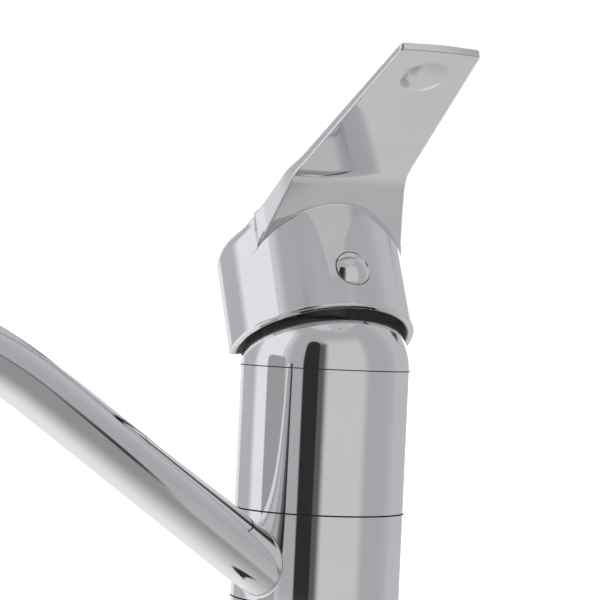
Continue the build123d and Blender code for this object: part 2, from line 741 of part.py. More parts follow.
with BuildPart() as lever_blade:
    with BuildSketch(lever_side.offset(-cap_radius)):
        Polygon(
            (0, cap_top),
            crown_point,
            kink_point,
            brow_point,
            tip_point,
            tip_under_point,
            bend_point,
            neck_inner_point,
        )
    extrude(amount=2 * cap_radius)
    with BuildSketch(lever_plane):
        Polygon(
            (cap_inner_radius / 2, 0),
            (flare_half_width, flare_front),
            (kink_half_width, kink_point[0]),
            (brow_half_width, brow_point[0]),
            (tip_half_width, tip_point[0]),
            (-tip_half_width, tip_point[0]),
            (-brow_half_width, brow_point[0]),
            (-kink_half_width, kink_point[0]),
            (-flare_half_width, flare_front),
            (-cap_inner_radius / 2, 0),
        )
    extrude(amount=2 * cap_top, mode=Mode.INTERSECT)

# Raised finger button under the blade, near its tip
with BuildPart() as finger_button:
    with BuildSketch(rest_button_plane.offset(-rest_button_root)):
        Circle(2 * rest_button_radius)
    extrude(amount=rest_button_root + 2 * rest_button_height)
    with Locations(Plane(origin=rest_button_ball_middle)):
        Sphere(rest_button_sphere, mode=Mode.INTERSECT)

# Stem boss and screw web under the cap's ceiling, cut to the inside of the cap
with BuildPart() as handle_boss:
    with BuildSketch(stem_plane.offset(boss_bottom)):
        Circle(boss_radius)
    extrude(amount=boss_top - boss_bottom)
    with BuildSketch(stem_plane.offset(screw_height - web_below_screw)):
        with Locations((0, -cap_inner_radius / 2)):
            Rectangle(web_width, cap_radius)
    extrude(amount=boss_top - screw_height)
    with BuildSketch(lever_plane):
        Circle(cap_inner_radius + cap_wall / 2)
    extrude(amount=cap_top - cap_wall / 2, mode=Mode.INTERSECT)

with BuildPart() as handle:
    with BuildSketch(lever_plane.offset(cap_rim)):
        Circle(cap_radius)
    extrude(amount=cap_top - cap_rim)
    fillet(handle.edges().filter_by(GeomType.CIRCLE).sort_by(Axis.Z)[-1], radius=cap_shoulder)
    add(lever_blade.part)
    add(finger_button.part)
    with BuildSketch(lever_plane.offset(cap_rim)):
        Circle(cap_inner_radius)
    extrude(amount=cap_ceiling - cap_rim, mode=Mode.SUBTRACT)
    add(handle_boss.part)
    with BuildSketch(plug_plane.offset(-pad_depth)):
        Circle(pad_radius)
    extrude(amount=pad_depth - cap_wall / 2)
    with BuildSketch(stem_plane):
        Rectangle(stem_width + 2 * fixed_clearance, stem_width + 2 * fixed_clearance)
    extrude(amount=stem_top + fixed_clearance, mode=Mode.SUBTRACT)
    with BuildSketch(screw_plane.offset(-stem_width / 4)):
        Circle(grub_radius + fixed_clearance)
    extrude(amount=cap_inner_radius, mode=Mode.SUBTRACT)
    with BuildSketch(plug_plane.offset(-plug_recess - plug_thickness)):
        Circle(plug_radius + fixed_clearance)
    extrude(amount=pad_depth, mode=Mode.SUBTRACT)
    with Locations((0, 0, pivot_height + back_relief)):
        Box(
            4 * cap_radius,
            4 * cap_radius,
            2 * cap_radius,
            align=(Align.CENTER, Align.CENTER, Align.MAX),
            mode=Mode.SUBTRACT,
        )
handle.part.label = "handle"
export_step(handle.part, "parts/handle.step")

with BuildPart() as grub_screw:
    with BuildSketch(screw_plane):
        Circle(grub_radius)
    extrude(amount=grub_length)
    with BuildSketch(screw_plane.offset(grub_length - grub_socket_depth)):
        RegularPolygon(grub_socket_flats / 2, 6, major_radius=False)
    extrude(amount=grub_socket_depth, mode=Mode.SUBTRACT)
grub_screw.part.label = "grub_screw"
export_step(grub_screw.part, "parts/grub_screw.step")

plug_sphere = (plug_radius**2 + plug_dome**2) / (2 * plug_dome)
with BuildPart() as plug_button:
    with BuildSketch(plug_plane.offset(-plug_recess - plug_thickness)):
        Circle(plug_radius)
    extrude(amount=plug_thickness + 2 * plug_dome)
    with Locations(Plane(origin=plug_plane.from_local_coords(Vector(0, 0, plug_dome - plug_recess - plug_sphere)))):
        Sphere(plug_sphere, mode=Mode.INTERSECT)
plug_button.part.label = "plug_button"
export_step(plug_button.part, "parts/plug_button.step")
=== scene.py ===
"""Chrome single lever mixer tap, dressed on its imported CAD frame.

Sizes in the classes are in millimetres, in the part's frame: +Z is up, -Y is the front, where the
lever points, and the origin is the middle of the foot. The lever rests lifted, at its open stop.
"""

import logging
import math
from dataclasses import dataclass, field, fields
from enum import Enum
from functools import reduce

import bmesh
import bpy
import numpy as np
from bpy.types import Material, Mesh, Node, NodeSocket, NodeTree, Object
from mathutils import Matrix, Vector


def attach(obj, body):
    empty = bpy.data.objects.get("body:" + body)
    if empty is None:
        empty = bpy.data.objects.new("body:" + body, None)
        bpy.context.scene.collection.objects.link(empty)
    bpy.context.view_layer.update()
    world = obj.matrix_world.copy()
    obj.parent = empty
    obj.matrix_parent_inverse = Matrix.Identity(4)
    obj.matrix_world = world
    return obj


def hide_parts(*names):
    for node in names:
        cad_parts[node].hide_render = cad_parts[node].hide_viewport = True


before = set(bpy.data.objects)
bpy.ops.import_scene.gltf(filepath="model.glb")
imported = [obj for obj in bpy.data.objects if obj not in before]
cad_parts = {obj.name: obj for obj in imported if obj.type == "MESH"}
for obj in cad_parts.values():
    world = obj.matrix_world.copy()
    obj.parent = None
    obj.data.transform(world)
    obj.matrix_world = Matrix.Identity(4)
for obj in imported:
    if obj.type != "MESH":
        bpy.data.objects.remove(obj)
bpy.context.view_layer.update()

MM = 0.001
LOG = logging.getLogger("mixer_tap")
Pair = tuple[float, float]
Triple = tuple[float, float, float]

# What counts as nothing, and as the same point
TINY, WELD = 1e-9, 1e-6
# The longest chord round a corner, mm, and the share of a side that its rounding may take
CHORD, SIDE_SHARE = 0.6, 0.49
# A seam's half height, and how far inside the wall its dark starts and ends, mm
SEAM_HALF, SEAM_START, SEAM_END = 0.22, 0.004, 4.0
# How near a corner lies to a round wall, mm, and how squarely its face looks out of it
WALL_SLACK, WALL_FACING = 0.02, 0.97


class Slot(Enum):
    """The record's material slots, one passed with each new piece."""

    CHROME = "polished_chrome"
    BRASS = "bare_brass"
    STEEL = "zinc_steel"
    RUBBER = "black_rubber"


class Body(Enum):
    """The moving bodies that new pieces ride on."""

    FIXED = "body"
    SPOUT = "spout"
    LEVER = "lever"


# Node trees


@dataclass(frozen=True)
class Term:
    """One output in a node tree. Arithmetic on it adds Math nodes to the tree."""

    tree: NodeTree
    socket: NodeSocket

    def math(self, operation: str, *others: object) -> "Term":
        """Adds a Math node that takes this number and others."""
        feeds = dict(enumerate((self, *others)))
        return term(self.tree, "ShaderNodeMath", feeds, operation=operation)

    def __add__(self, other: object) -> "Term":
        """This number and another."""
        return self.math("ADD", other)

    def __sub__(self, other: object) -> "Term":
        """This number less another."""
        return self.math("SUBTRACT", other)

    def __mul__(self, other: object) -> "Term":
        """This number times another."""
        return self.math("MULTIPLY", other)

    def __truediv__(self, other: object) -> "Term":
        """This number over another."""
        return self.math("DIVIDE", other)

    def ease(self, start: object, end: object, low: float = 0.0, high: float = 1.0) -> "Term":
        """Adds a smooth step as this number grows.

        Args:
            start: Where the step starts.
            end: Where the step ends.
            low: The result before the start.
            high: The result after the end.

        Returns:
            The result.
        """
        feeds = {"Value": self, "From Min": start, "From Max": end, "To Min": low, "To Max": high}
        return term(self.tree, "ShaderNodeMapRange", feeds, interpolation_type="SMOOTHSTEP")


def feed(tree: NodeTree, node: Node, feeds: dict) -> None:
    """Sets or links a node's inputs.

    Args:
        tree: The node tree.
        node: The node.
        feeds: Input name or number to a value, or to the term that feeds it.
    """
    for name, value in feeds.items():
        if isinstance(value, Term):
            tree.links.new(value.socket, node.inputs[name])
        else:
            node.inputs[name].default_value = value


def place(tree: NodeTree, kind: str, feeds: dict | None = None, **settings: object) -> Node:
    """Adds a node to a tree, sets it up and feeds it.

    Args:
        tree: The node tree.
        kind: The node's type name.
        feeds: What its inputs take; see feed.
        **settings: Properties of the node.

    Returns:
        The new node.
    """
    node = tree.nodes.new(kind)
    for name, value in settings.items():
        setattr(node, name, value)
    feed(tree, node, feeds or {})
    return node


def term(
    tree: NodeTree, kind: str, feeds: dict | None = None, output: int | str = 0, **settings: object
) -> Term:
    """Adds a node and gives one of its outputs; see place."""
    return Term(tree, place(tree, kind, feeds, **settings).outputs[output])


def axes_of(tree: NodeTree, vector: Term) -> list[Term]:
    """Splits a vector into its x, y and z."""
    return [Term(tree, part) for part in place(tree, "ShaderNodeSeparateXYZ", {0: vector}).outputs]


def noise(
    tree: NodeTree, spot: Term, scale: object, detail: float = 2.0, roughness: float = 0.5
) -> Term:
    """Adds a noise over a place."""
    feeds = {"Vector": spot, "Scale": scale, "Detail": detail, "Roughness": roughness}
    return term(tree, "ShaderNodeTexNoise", feeds)


def blend_colours(tree: NodeTree, share: Term, first: object, second: object) -> Term:
    """Adds a mix of two colours, with the second one's share."""
    return term(tree, "ShaderNodeMix", {0: share, 6: first, 7: second}, 2, data_type="RGBA")


def blend_numbers(tree: NodeTree, share: Term, first: object, second: object) -> Term:
    """Adds a mix of two numbers, with the second one's share."""
    return term(tree, "ShaderNodeMix", {0: share, 2: first, 3: second})


def new_group(name: str, kind: str, inputs: dict[str, object], outputs: tuple[str, ...]) -> tuple:
    """Starts a node group. Its sockets are numbers, but for a vector's default and for Geometry.

    Args:
        name: The group's name.
        kind: The tree's type name.
        inputs: Input name to its default.
        outputs: Output names.

    Returns:
        The group, its inputs by name as terms, and its output node.
    """
    group = bpy.data.node_groups.new(name, kind)
    rows = [("INPUT", title, default) for title, default in inputs.items()]
    rows += [("OUTPUT", title, None) for title in outputs]
    for way, title, default in rows:
        short = "Vector" if isinstance(default, tuple) else "Float"
        short = "Geometry" if title == "Geometry" else short
        socket = group.interface.new_socket(title, in_out=way, socket_type=f"NodeSocket{short}")
        if default is not None:
            socket.default_value = default
    given = group.nodes.new("NodeGroupInput")
    terms = {title: Term(group, given.outputs[title]) for title in inputs}
    return group, terms, group.nodes.new("NodeGroupOutput")


class Effects:
    """The shader groups that several finishes share, each built once."""

    middle: Triple = (0.0, 0.0, 0.0)

    def __init__(self) -> None:
        """Builds the groups."""
        self.polish = self._polish()
        self.grain = self._grain()
        self.turning = self._turning()
        self.panel = self._panel()

    def _polish(self) -> NodeTree:
        """The faint clouding and waviness that buffing leaves under plating.

        Returns:
            The group.
        """
        group, given, result = new_group(
            "buffed_surface",
            "ShaderNodeTree",
            {"Place": self.middle, "Cloud Size": 30.0, "Wave Size": 60.0},
            ("Cloud", "Height"),
        )
        cloud = noise(group, given["Place"], given["Cloud Size"], detail=3.0, roughness=0.55)
        wave = noise(group, given["Place"], given["Wave Size"], detail=1.0, roughness=0.4)
        feed(group, result, {"Cloud": cloud.ease(0.3, 0.7), "Height": wave})
        return group

    def _grain(self) -> NodeTree:
        """A moulded or cast surface's fine grain, with slow patches over it.

        Returns:
            The group.
        """
        group, given, result = new_group(
            "moulded_grain",
            "ShaderNodeTree",
            {"Place": self.middle, "Grain Size": 900.0, "Patch Size": 60.0},
            ("Patch", "Height"),
        )
        grain = noise(group, given["Place"], given["Grain Size"], detail=4.0, roughness=0.6)
        patch = noise(group, given["Place"], given["Patch Size"])
        feed(group, result, {"Patch": patch.ease(0.35, 0.65), "Height": grain})
        return group

    def _turning(self) -> NodeTree:
        """The rings that a lathe leaves about a part's axis.

        Returns:
            The group.
        """
        group, given, result = new_group(
            "lathe_rings",
            "ShaderNodeTree",
            {"Place": self.middle, "Pitch": 4000.0, "Wander": 0.5},
            ("Ring",),
        )
        x, y, z = axes_of(group, given["Place"])
        steps = ((x * x + y * y).math("SQRT") + z) * given["Pitch"]
        feeds = {"W": steps, "Scale": 1.0, "Detail": 2.0}
        rings = term(group, "ShaderNodeTexNoise", feeds, noise_dimensions="1D")
        wander = noise(group, given["Place"], 80.0) * given["Wander"]
        feed(group, result, {"Ring": rings + wander})
        return group

    @staticmethod
    def _panel() -> NodeTree:
        """One soft box of the studio, as a mask over the directions round the tap, in degrees.

        Returns:
            The group.
        """
        titles = ("Azimuth", "Elevation", "Centre", "Height Centre")
        sizes = {"Half Width": 10.0, "Half Height": 10.0, "Softness": 2.0, "Roundness": 0.0}
        group, given, result = new_group(
            "soft_box", "ShaderNodeTree", {**dict.fromkeys(titles, 0.0), **sizes}, ("Mask",)
        )
        across = (given["Azimuth"] - given["Centre"]).math("WRAP", 180.0, -180.0).math("ABSOLUTE")
        up = (given["Elevation"] - given["Height Centre"]).math("ABSOLUTE")
        corner, soft = given["Roundness"], given["Softness"]
        over_x = (across - (given["Half Width"] - corner)).math("MAXIMUM", 0.0)
        over_y = (up - (given["Half Height"] - corner)).math("MAXIMUM", 0.0)
        beyond = (over_x * over_x + over_y * over_y).math("SQRT") - corner
        feed(group, result, {"Mask": beyond.ease(soft * -1.0, soft, 1.0, 0.0)})
        return group


@dataclass(frozen=True)
class Finish:
    """A plain finish: a colour that wanders a little, and grain.

    Attributes:
        title: The material's name.
        colour: The usual colour.
        second: The colour of its slow patches.
        roughness: Least roughness.
        spread: How much rougher the patches are.
        metallic: 1 for bare metal.
        grain: The grain's scale.
        depth: The grain's height, mm.
        patch: The patches' scale.
    """

    title: str
    colour: Triple
    second: Triple
    roughness: float = 0.4
    spread: float = 0.1
    metallic: float = 0.0
    grain: float = 900.0
    depth: float = 0.02
    patch: float = 60.0

    def material(self, effects: Effects) -> Material:
        """Builds the material.

        Args:
            effects: The shared shader groups.

        Returns:
            The material.
        """
        material = bpy.data.materials.new(self.title)
        material.use_nodes = True
        material.diffuse_color = (*self.colour, 1.0)
        tree = material.node_tree
        mask, height = self.pattern(tree, effects)
        relief = {"Height": height, "Distance": self.depth * MM, "Strength": 1.0}
        feeds = {
            "Base Color": blend_colours(tree, mask, (*self.colour, 1.0), (*self.second, 1.0)),
            "Roughness": mask.math("MULTIPLY_ADD", self.spread, self.roughness),
            "Metallic": self.metallic,
            "Normal": term(tree, "ShaderNodeBump", relief),
        }
        feed(tree, tree.nodes["Principled BSDF"], feeds)
        return material

    @staticmethod
    def spread_over(
        tree: NodeTree, group: NodeTree, sizes: dict[str, float], *outputs: str
    ) -> list[Term]:
        """Places a shared group on object coordinates.

        Args:
            tree: The material's tree.
            group: The group.
            sizes: Its other inputs.
            *outputs: The outputs that are wanted.

        Returns:
            Those outputs.
        """
        spot = term(tree, "ShaderNodeTexCoord", output="Object")
        node = place(tree, "ShaderNodeGroup", {"Place": spot, **sizes}, node_tree=group)
        return [Term(tree, node.outputs[name]) for name in outputs]

    def pattern(self, tree: NodeTree, effects: Effects) -> list[Term]:
        """Adds the grain; gives the mask for colour and roughness, and the bump's height."""
        sizes = {"Grain Size": self.grain, "Patch Size": self.patch}
        return self.spread_over(tree, effects.grain, sizes, "Patch", "Height")


@dataclass(frozen=True)
class PolishedFinish(Finish):
    """Bright plating: the pattern is buffing, not grain."""

    def pattern(self, tree: NodeTree, effects: Effects) -> list[Term]:
        """Adds the buffed surface's clouding and waviness; see Finish.pattern."""
        sizes = {"Cloud Size": self.patch, "Wave Size": self.grain}
        return self.spread_over(tree, effects.polish, sizes, "Cloud", "Height")


@dataclass(frozen=True)
class TurnedFinish(Finish):
    """Bare metal off the lathe: rings about the part's axis."""

    def pattern(self, tree: NodeTree, effects: Effects) -> list[Term]:
        """Adds the lathe's rings; see Finish.pattern."""
        (ring,) = self.spread_over(tree, effects.turning, {"Pitch": self.grain}, "Ring")
        return [ring.ease(0.45, 1.05), ring]


class Finishes:
    """Every finish on the tap, as materials."""

    bright: Triple = (0.88, 0.885, 0.90)
    cloudy: Triple = (0.85, 0.857, 0.875)

    def __init__(self, effects: Effects) -> None:
        """Builds the materials.

        Args:
            effects: The shared shader groups.
        """
        self.chrome = self.plating("chrome_plate", 0.03, 0.02, 70.0, 0.0010, 30.0, effects)
        self.cast_chrome = self.plating(
            "chrome_on_casting", 0.035, 0.03, 90.0, 0.0030, 40.0, effects
        )
        self.tube_chrome = self.plating("chrome_on_tube", 0.04, 0.03, 60.0, 0.0016, 25.0, effects)
        self.raw_casting = Finish(
            "raw_casting", (0.44, 0.425, 0.41), (0.50, 0.485, 0.465), 0.7, 0.2,
            grain=700.0, depth=0.004, patch=90.0,
        ).material(effects)
        self.seam = Finish(
            "seam_shadow", (0.02, 0.02, 0.02), (0.04, 0.04, 0.04), 0.6, 0.2, patch=90.0
        ).material(effects)
        self.brass = TurnedFinish(
            "turned_brass", (0.72, 0.53, 0.26), (0.60, 0.42, 0.20), 0.24, 0.16,
            metallic=1.0, grain=2600.0, depth=0.012,
        ).material(effects)
        self.steel = TurnedFinish(
            "zinc_on_steel", (0.62, 0.63, 0.62), (0.50, 0.51, 0.50), 0.28, 0.18,
            metallic=1.0, grain=1900.0, depth=0.01,
        ).material(effects)
        self.rubber = Finish(
            "black_rubber", (0.018, 0.018, 0.018), (0.035, 0.034, 0.033), 0.55, 0.2,
            grain=1400.0, depth=0.03, patch=110.0,
        ).material(effects)
        self.white = Finish(
            "white_acetal", (0.80, 0.80, 0.78), (0.74, 0.74, 0.72), 0.32, 0.1,
            grain=1100.0, depth=0.006, patch=70.0,
        ).material(effects)
        self.grey = Finish(
            "grey_acetal", (0.30, 0.31, 0.32), (0.25, 0.26, 0.27), 0.35, 0.1,
            grain=1100.0, depth=0.008, patch=70.0,
        ).material(effects)
        self.ceramic = Finish(
            "fired_ceramic", (0.86, 0.84, 0.80), (0.80, 0.78, 0.73), 0.12, 0.06,
            grain=1600.0, depth=0.003, patch=140.0,
        ).material(effects)

    def plating(
        self,
        title: str,
        roughness: float,
        spread: float,
        waves: float,
        depth: float,
        clouds: float,
        effects: Effects,
    ) -> Material:
        """Builds one of the chrome platings.

        Args:
            title: The material's name.
            roughness: Least roughness.
            spread: How much rougher its clouds are.
            waves: The waves' scale.
            depth: The waves' height, mm.
            clouds: The clouds' scale.
            effects: The shared shader groups.

        Returns:
            The material.
        """
        finish = PolishedFinish(
            title, self.bright, self.cloudy, roughness, spread, 1.0, waves, depth, clouds
        )
        return finish.material(effects)


# Meshes


def link_object(name: str, data: bpy.types.ID) -> Object:
    """Stands a mesh, camera or lamp in the scene, at the origin.

    Args:
        name: The object's name.
        data: What it shows.

    Returns:
        The object.
    """
    item = bpy.data.objects.new(name, data)
    bpy.context.scene.collection.objects.link(item)
    return item


def wear(mesh: Mesh, materials: list) -> None:
    """Gives a mesh its materials, in place of any it had.

    Args:
        mesh: The mesh.
        materials: The materials.
    """
    mesh.materials.clear()
    for material in materials:
        mesh.materials.append(material)


def read_rows(rows: bpy.types.bpy_prop_collection, name: str, width: int = 3) -> np.ndarray:
    """Reads one field of a mesh's rows.

    Args:
        rows: The mesh's vertices, loops or polygons.
        name: The field.
        width: 3 for vectors, 1 for whole numbers.

    Returns:
        Its values.
    """
    values = np.empty(len(rows) * width, np.int32 if width == 1 else float)
    rows.foreach_get(name, values)
    return values if width == 1 else values.reshape(-1, width)


def make_piece(
    name: str,
    points: np.ndarray,
    faces: object,
    normals: np.ndarray | None,
    materials: list,
    spots: np.ndarray | None = None,
) -> Object:
    """Makes a mesh object at the origin.

    Args:
        name: The piece's name.
        points: Its corners, mm.
        faces: Its faces, as rows of corner numbers.
        normals: One direction for each corner, or None for flat faces.
        materials: Its materials.
        spots: Each face's material number, or None for all 0.

    Returns:
        The object.
    """
    mesh = bpy.data.meshes.new(name)
    mesh.from_pydata((np.asarray(points) * MM).tolist(), [], [list(map(int, f)) for f in faces])
    wear(mesh, materials)
    if spots is not None:
        mesh.polygons.foreach_set("material_index", np.asarray(spots, np.int32))
    if normals is not None:
        mesh.shade_smooth()
        mesh.normals_split_custom_set_from_vertices(np.asarray(normals).tolist())
    return link_object(name, mesh)


def applied(blank: Object) -> Mesh:
    """Turns an object with modifiers into a plain mesh, and removes the object.

    Args:
        blank: The object.

    Returns:
        The mesh.
    """
    graph = bpy.context.evaluated_depsgraph_get()
    mesh = bpy.data.meshes.new_from_object(blank.evaluated_get(graph))
    bpy.data.objects.remove(blank)
    return mesh


def shade(mesh: Mesh, angle: float) -> None:
    """Shades a mesh smooth, but for edges sharper than an angle in degrees."""
    mesh.shade_smooth()
    mesh.set_sharp_from_angle(angle=math.radians(angle))


@dataclass(frozen=True)
class Corner:
    """One corner of a turned profile: its radius, its height and how far it is rounded."""

    radius: float
    height: float
    rounding: float = 0.1


def section(*rows: tuple[float, ...]) -> list[Corner]:
    """The corners of a profile, from rows of radius, height and rounding."""
    return [Corner(*row) for row in rows]


def round_profile(
    corners: list[Corner], closed: bool, steps: int = 4
) -> tuple[np.ndarray, np.ndarray]:
    """Rounds a profile's corners.

    Args:
        corners: The corners, with the solid on the left.
        closed: True if the last corner joins the first; otherwise both ends lie on the axis, and
            are left to the caller.
        steps: The fewest chords round a corner.

    Returns:
        Its points and the directions that face out of the solid there, as (radius, height).
    """
    places = [np.array((c.radius, c.height), float) for c in corners]
    points, normals = [], []
    count = len(corners)
    for i in range(count) if closed else range(1, count - 1):
        come, go = places[i] - places[i - 1], places[(i + 1) % count] - places[i]
        room = min(np.linalg.norm(come), np.linalg.norm(go)) * SIDE_SHARE
        come, go = come / np.linalg.norm(come), go / np.linalg.norm(go)
        turn = math.atan2(come[0] * go[1] - come[1] * go[0], come @ go)
        reach = min(abs(corners[i].rounding * math.tan(turn / 2)), room)
        radius = reach / max(abs(math.tan(turn / 2)), TINY)
        sign = 1.0 if turn > 0 else -1.0
        start = np.array((come[1], -come[0]))
        middle = places[i] - come * reach - start * radius * sign
        chords = max(steps, int(abs(turn) * radius / CHORD))
        for k in range(chords + 1):
            cos, sin = math.cos(turn * k / chords), math.sin(turn * k / chords)
            normal = np.array((start[0] * cos - start[1] * sin, start[0] * sin + start[1] * cos))
            points.append(middle + normal * radius * sign)
            normals.append(normal)
    return np.array(points), np.array(normals)


def spin(rows: np.ndarray, segments: int) -> np.ndarray:
    """Turns rows of (radius, height) about the upright axis, into one hoop of points a row.

    Args:
        rows: The rows.
        segments: How many points go round.

    Returns:
        The points, hoop after hoop.
    """
    angles = np.arange(segments) * 2 * math.pi / segments
    radii, heights = rows[:, :1], np.repeat(rows[:, 1:], segments, 1)
    hoops = np.stack([radii * np.cos(angles), radii * np.sin(angles), heights], 2)
    return hoops.reshape(-1, 3)


def hoop_faces(rows: int, count: int, closed: bool = True, first: int = 0) -> list[tuple[int, ...]]:
    """Joins hoops of points with faces of four corners.

    Args:
        rows: How many hoops there are.
        count: How many points a hoop has.
        closed: True if the last hoop joins the first.
        first: The first hoop's first point.

    Returns:
        The faces.
    """
    faces = []
    for i in range(rows if closed else rows - 1):
        a, b = first + i * count, first + (i + 1) % rows * count
        for j in range(count):
            k = (j + 1) % count
            faces.append((a + j, a + k, b + k, b + j))
    return faces


def seam_faces(middles: np.ndarray, seams: tuple[float, ...], radius: float) -> np.ndarray:
    """Marks the faces in the dark of the seams between turned pieces.

    Args:
        middles: The faces' middles, mm.
        seams: The seams' heights.
        radius: The radius of the wall that the seams run round.

    Returns:
        1 for a face in a seam, 0 for the others.
    """
    near = np.zeros(len(middles), bool)
    for height in seams:
        near |= np.abs(middles[:, 2] - height) < SEAM_HALF
    reach = np.hypot(middles[:, 0], middles[:, 1])
    return (near & (reach > radius - SEAM_END) & (reach < radius - SEAM_START)).astype(np.int32)


def turn_piece(
    name: str,
    corners: list[Corner],
    materials: list,
    centre: Pair = (0.0, 0.0),
    closed: bool = True,
    segments: int = 192,
    seams: tuple[float, ...] = (),
) -> Object:
    """Turns a profile about an upright axis.

    Args:
        name: The piece's name.
        corners: The profile, with the solid on its left.
        materials: The piece's materials.
        centre: Where the axis stands, x and y.
        closed: True for a ring, False for a solid that reaches the axis at both ends.
        segments: How many facets go round.
        seams: Heights of the seams that the second material darkens.

    Returns:
        The object.
    """
    profile, facing = round_profile(corners, closed)
    points, normals = spin(profile, segments), spin(facing, segments)
    faces = hoop_faces(len(profile), segments, closed)
    if not closed:
        low, high, top = len(points), len(points) + 1, len(points) - segments
        poles = [(0.0, 0.0, corners[0].height), (0.0, 0.0, corners[-1].height)]
        points = np.concatenate([points, poles])
        normals = np.concatenate([normals, [(0, 0, -1), (0, 0, 1)]])
        faces += [(low, (j + 1) % segments, j) for j in range(segments)]
        faces += [(high, top + j, top + (j + 1) % segments) for j in range(segments)]
    spots = None
    if seams:
        middles = np.array([points[list(f)].mean(0) for f in faces])
        spots = seam_faces(middles, seams, max(c.radius for c in corners))
    points[:, :2] += centre
    return make_piece(name, points, faces, normals, materials, spots)


def polished_copy(
    name: str, node: str, radii: list[float], materials: list, seams: tuple[float, ...]
) -> Object:
    """Copies a CAD node whose bores and sockets matter, and gives its round walls true directions.

    Args:
        name: The new piece's name.
        node: The CAD node.
        radii: The radii of its round walls about the main axis, mm.
        materials: The piece's materials.
        seams: Heights of the seams that the second material darkens.

    Returns:
        The object.
    """
    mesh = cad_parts[node].data.copy()
    mesh.name = name
    shape = bmesh.new()
    shape.from_mesh(mesh)
    bmesh.ops.remove_doubles(shape, verts=shape.verts, dist=WELD)
    shape.to_mesh(mesh)
    shape.free()
    wear(mesh, materials)
    middles = read_rows(mesh.polygons, "center") / MM
    mesh.polygons.foreach_set("material_index", seam_faces(middles, seams, max(radii)))
    mesh.shade_smooth()
    spots = read_rows(mesh.vertices, "co")[read_rows(mesh.loops, "vertex_index", 1)] / MM
    counts = read_rows(mesh.polygons, "loop_total", 1)
    normals = np.repeat(read_rows(mesh.polygons, "normal"), counts, 0)
    reach = np.hypot(spots[:, 0], spots[:, 1])
    radial = spots * (1.0, 1.0, 0.0) / np.maximum(reach, TINY)[:, None]
    facing = (radial * normals).sum(1)
    for radius in radii:
        on = (np.abs(reach - radius) < WALL_SLACK) & (np.abs(facing) > WALL_FACING)
        normals[on] = radial[on] * np.sign(facing[on])[:, None]
    mesh.normals_split_custom_set(normals.tolist())
    return link_object(name, mesh)


def settle(piece: Object, body: Body, slot: Slot, *nodes: str) -> None:
    """Puts a finished piece on its body and reports it.

    Args:
        piece: The piece.
        body: The body that it rides on.
        slot: The record's material slot; not used.
        *nodes: The CAD nodes that it stands for.
    """
    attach(piece, body.value)
    if nodes:
        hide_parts(*nodes)
    LOG.info("%s: %d faces on %s", piece.name, len(piece.data.polygons), body.value)


def dress(node: str, material: Material) -> None:
    """Gives a CAD node that stays its finish.

    Args:
        node: The node's name.
        material: Its finish.
    """
    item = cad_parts[node]
    if not item.material_slots:
        item.data.materials.append(None)
    for slot in item.material_slots:
        slot.link = "OBJECT"
        slot.material = material
    LOG.info("%s: CAD shape in %s", node, material.name)


# Sub-assemblies


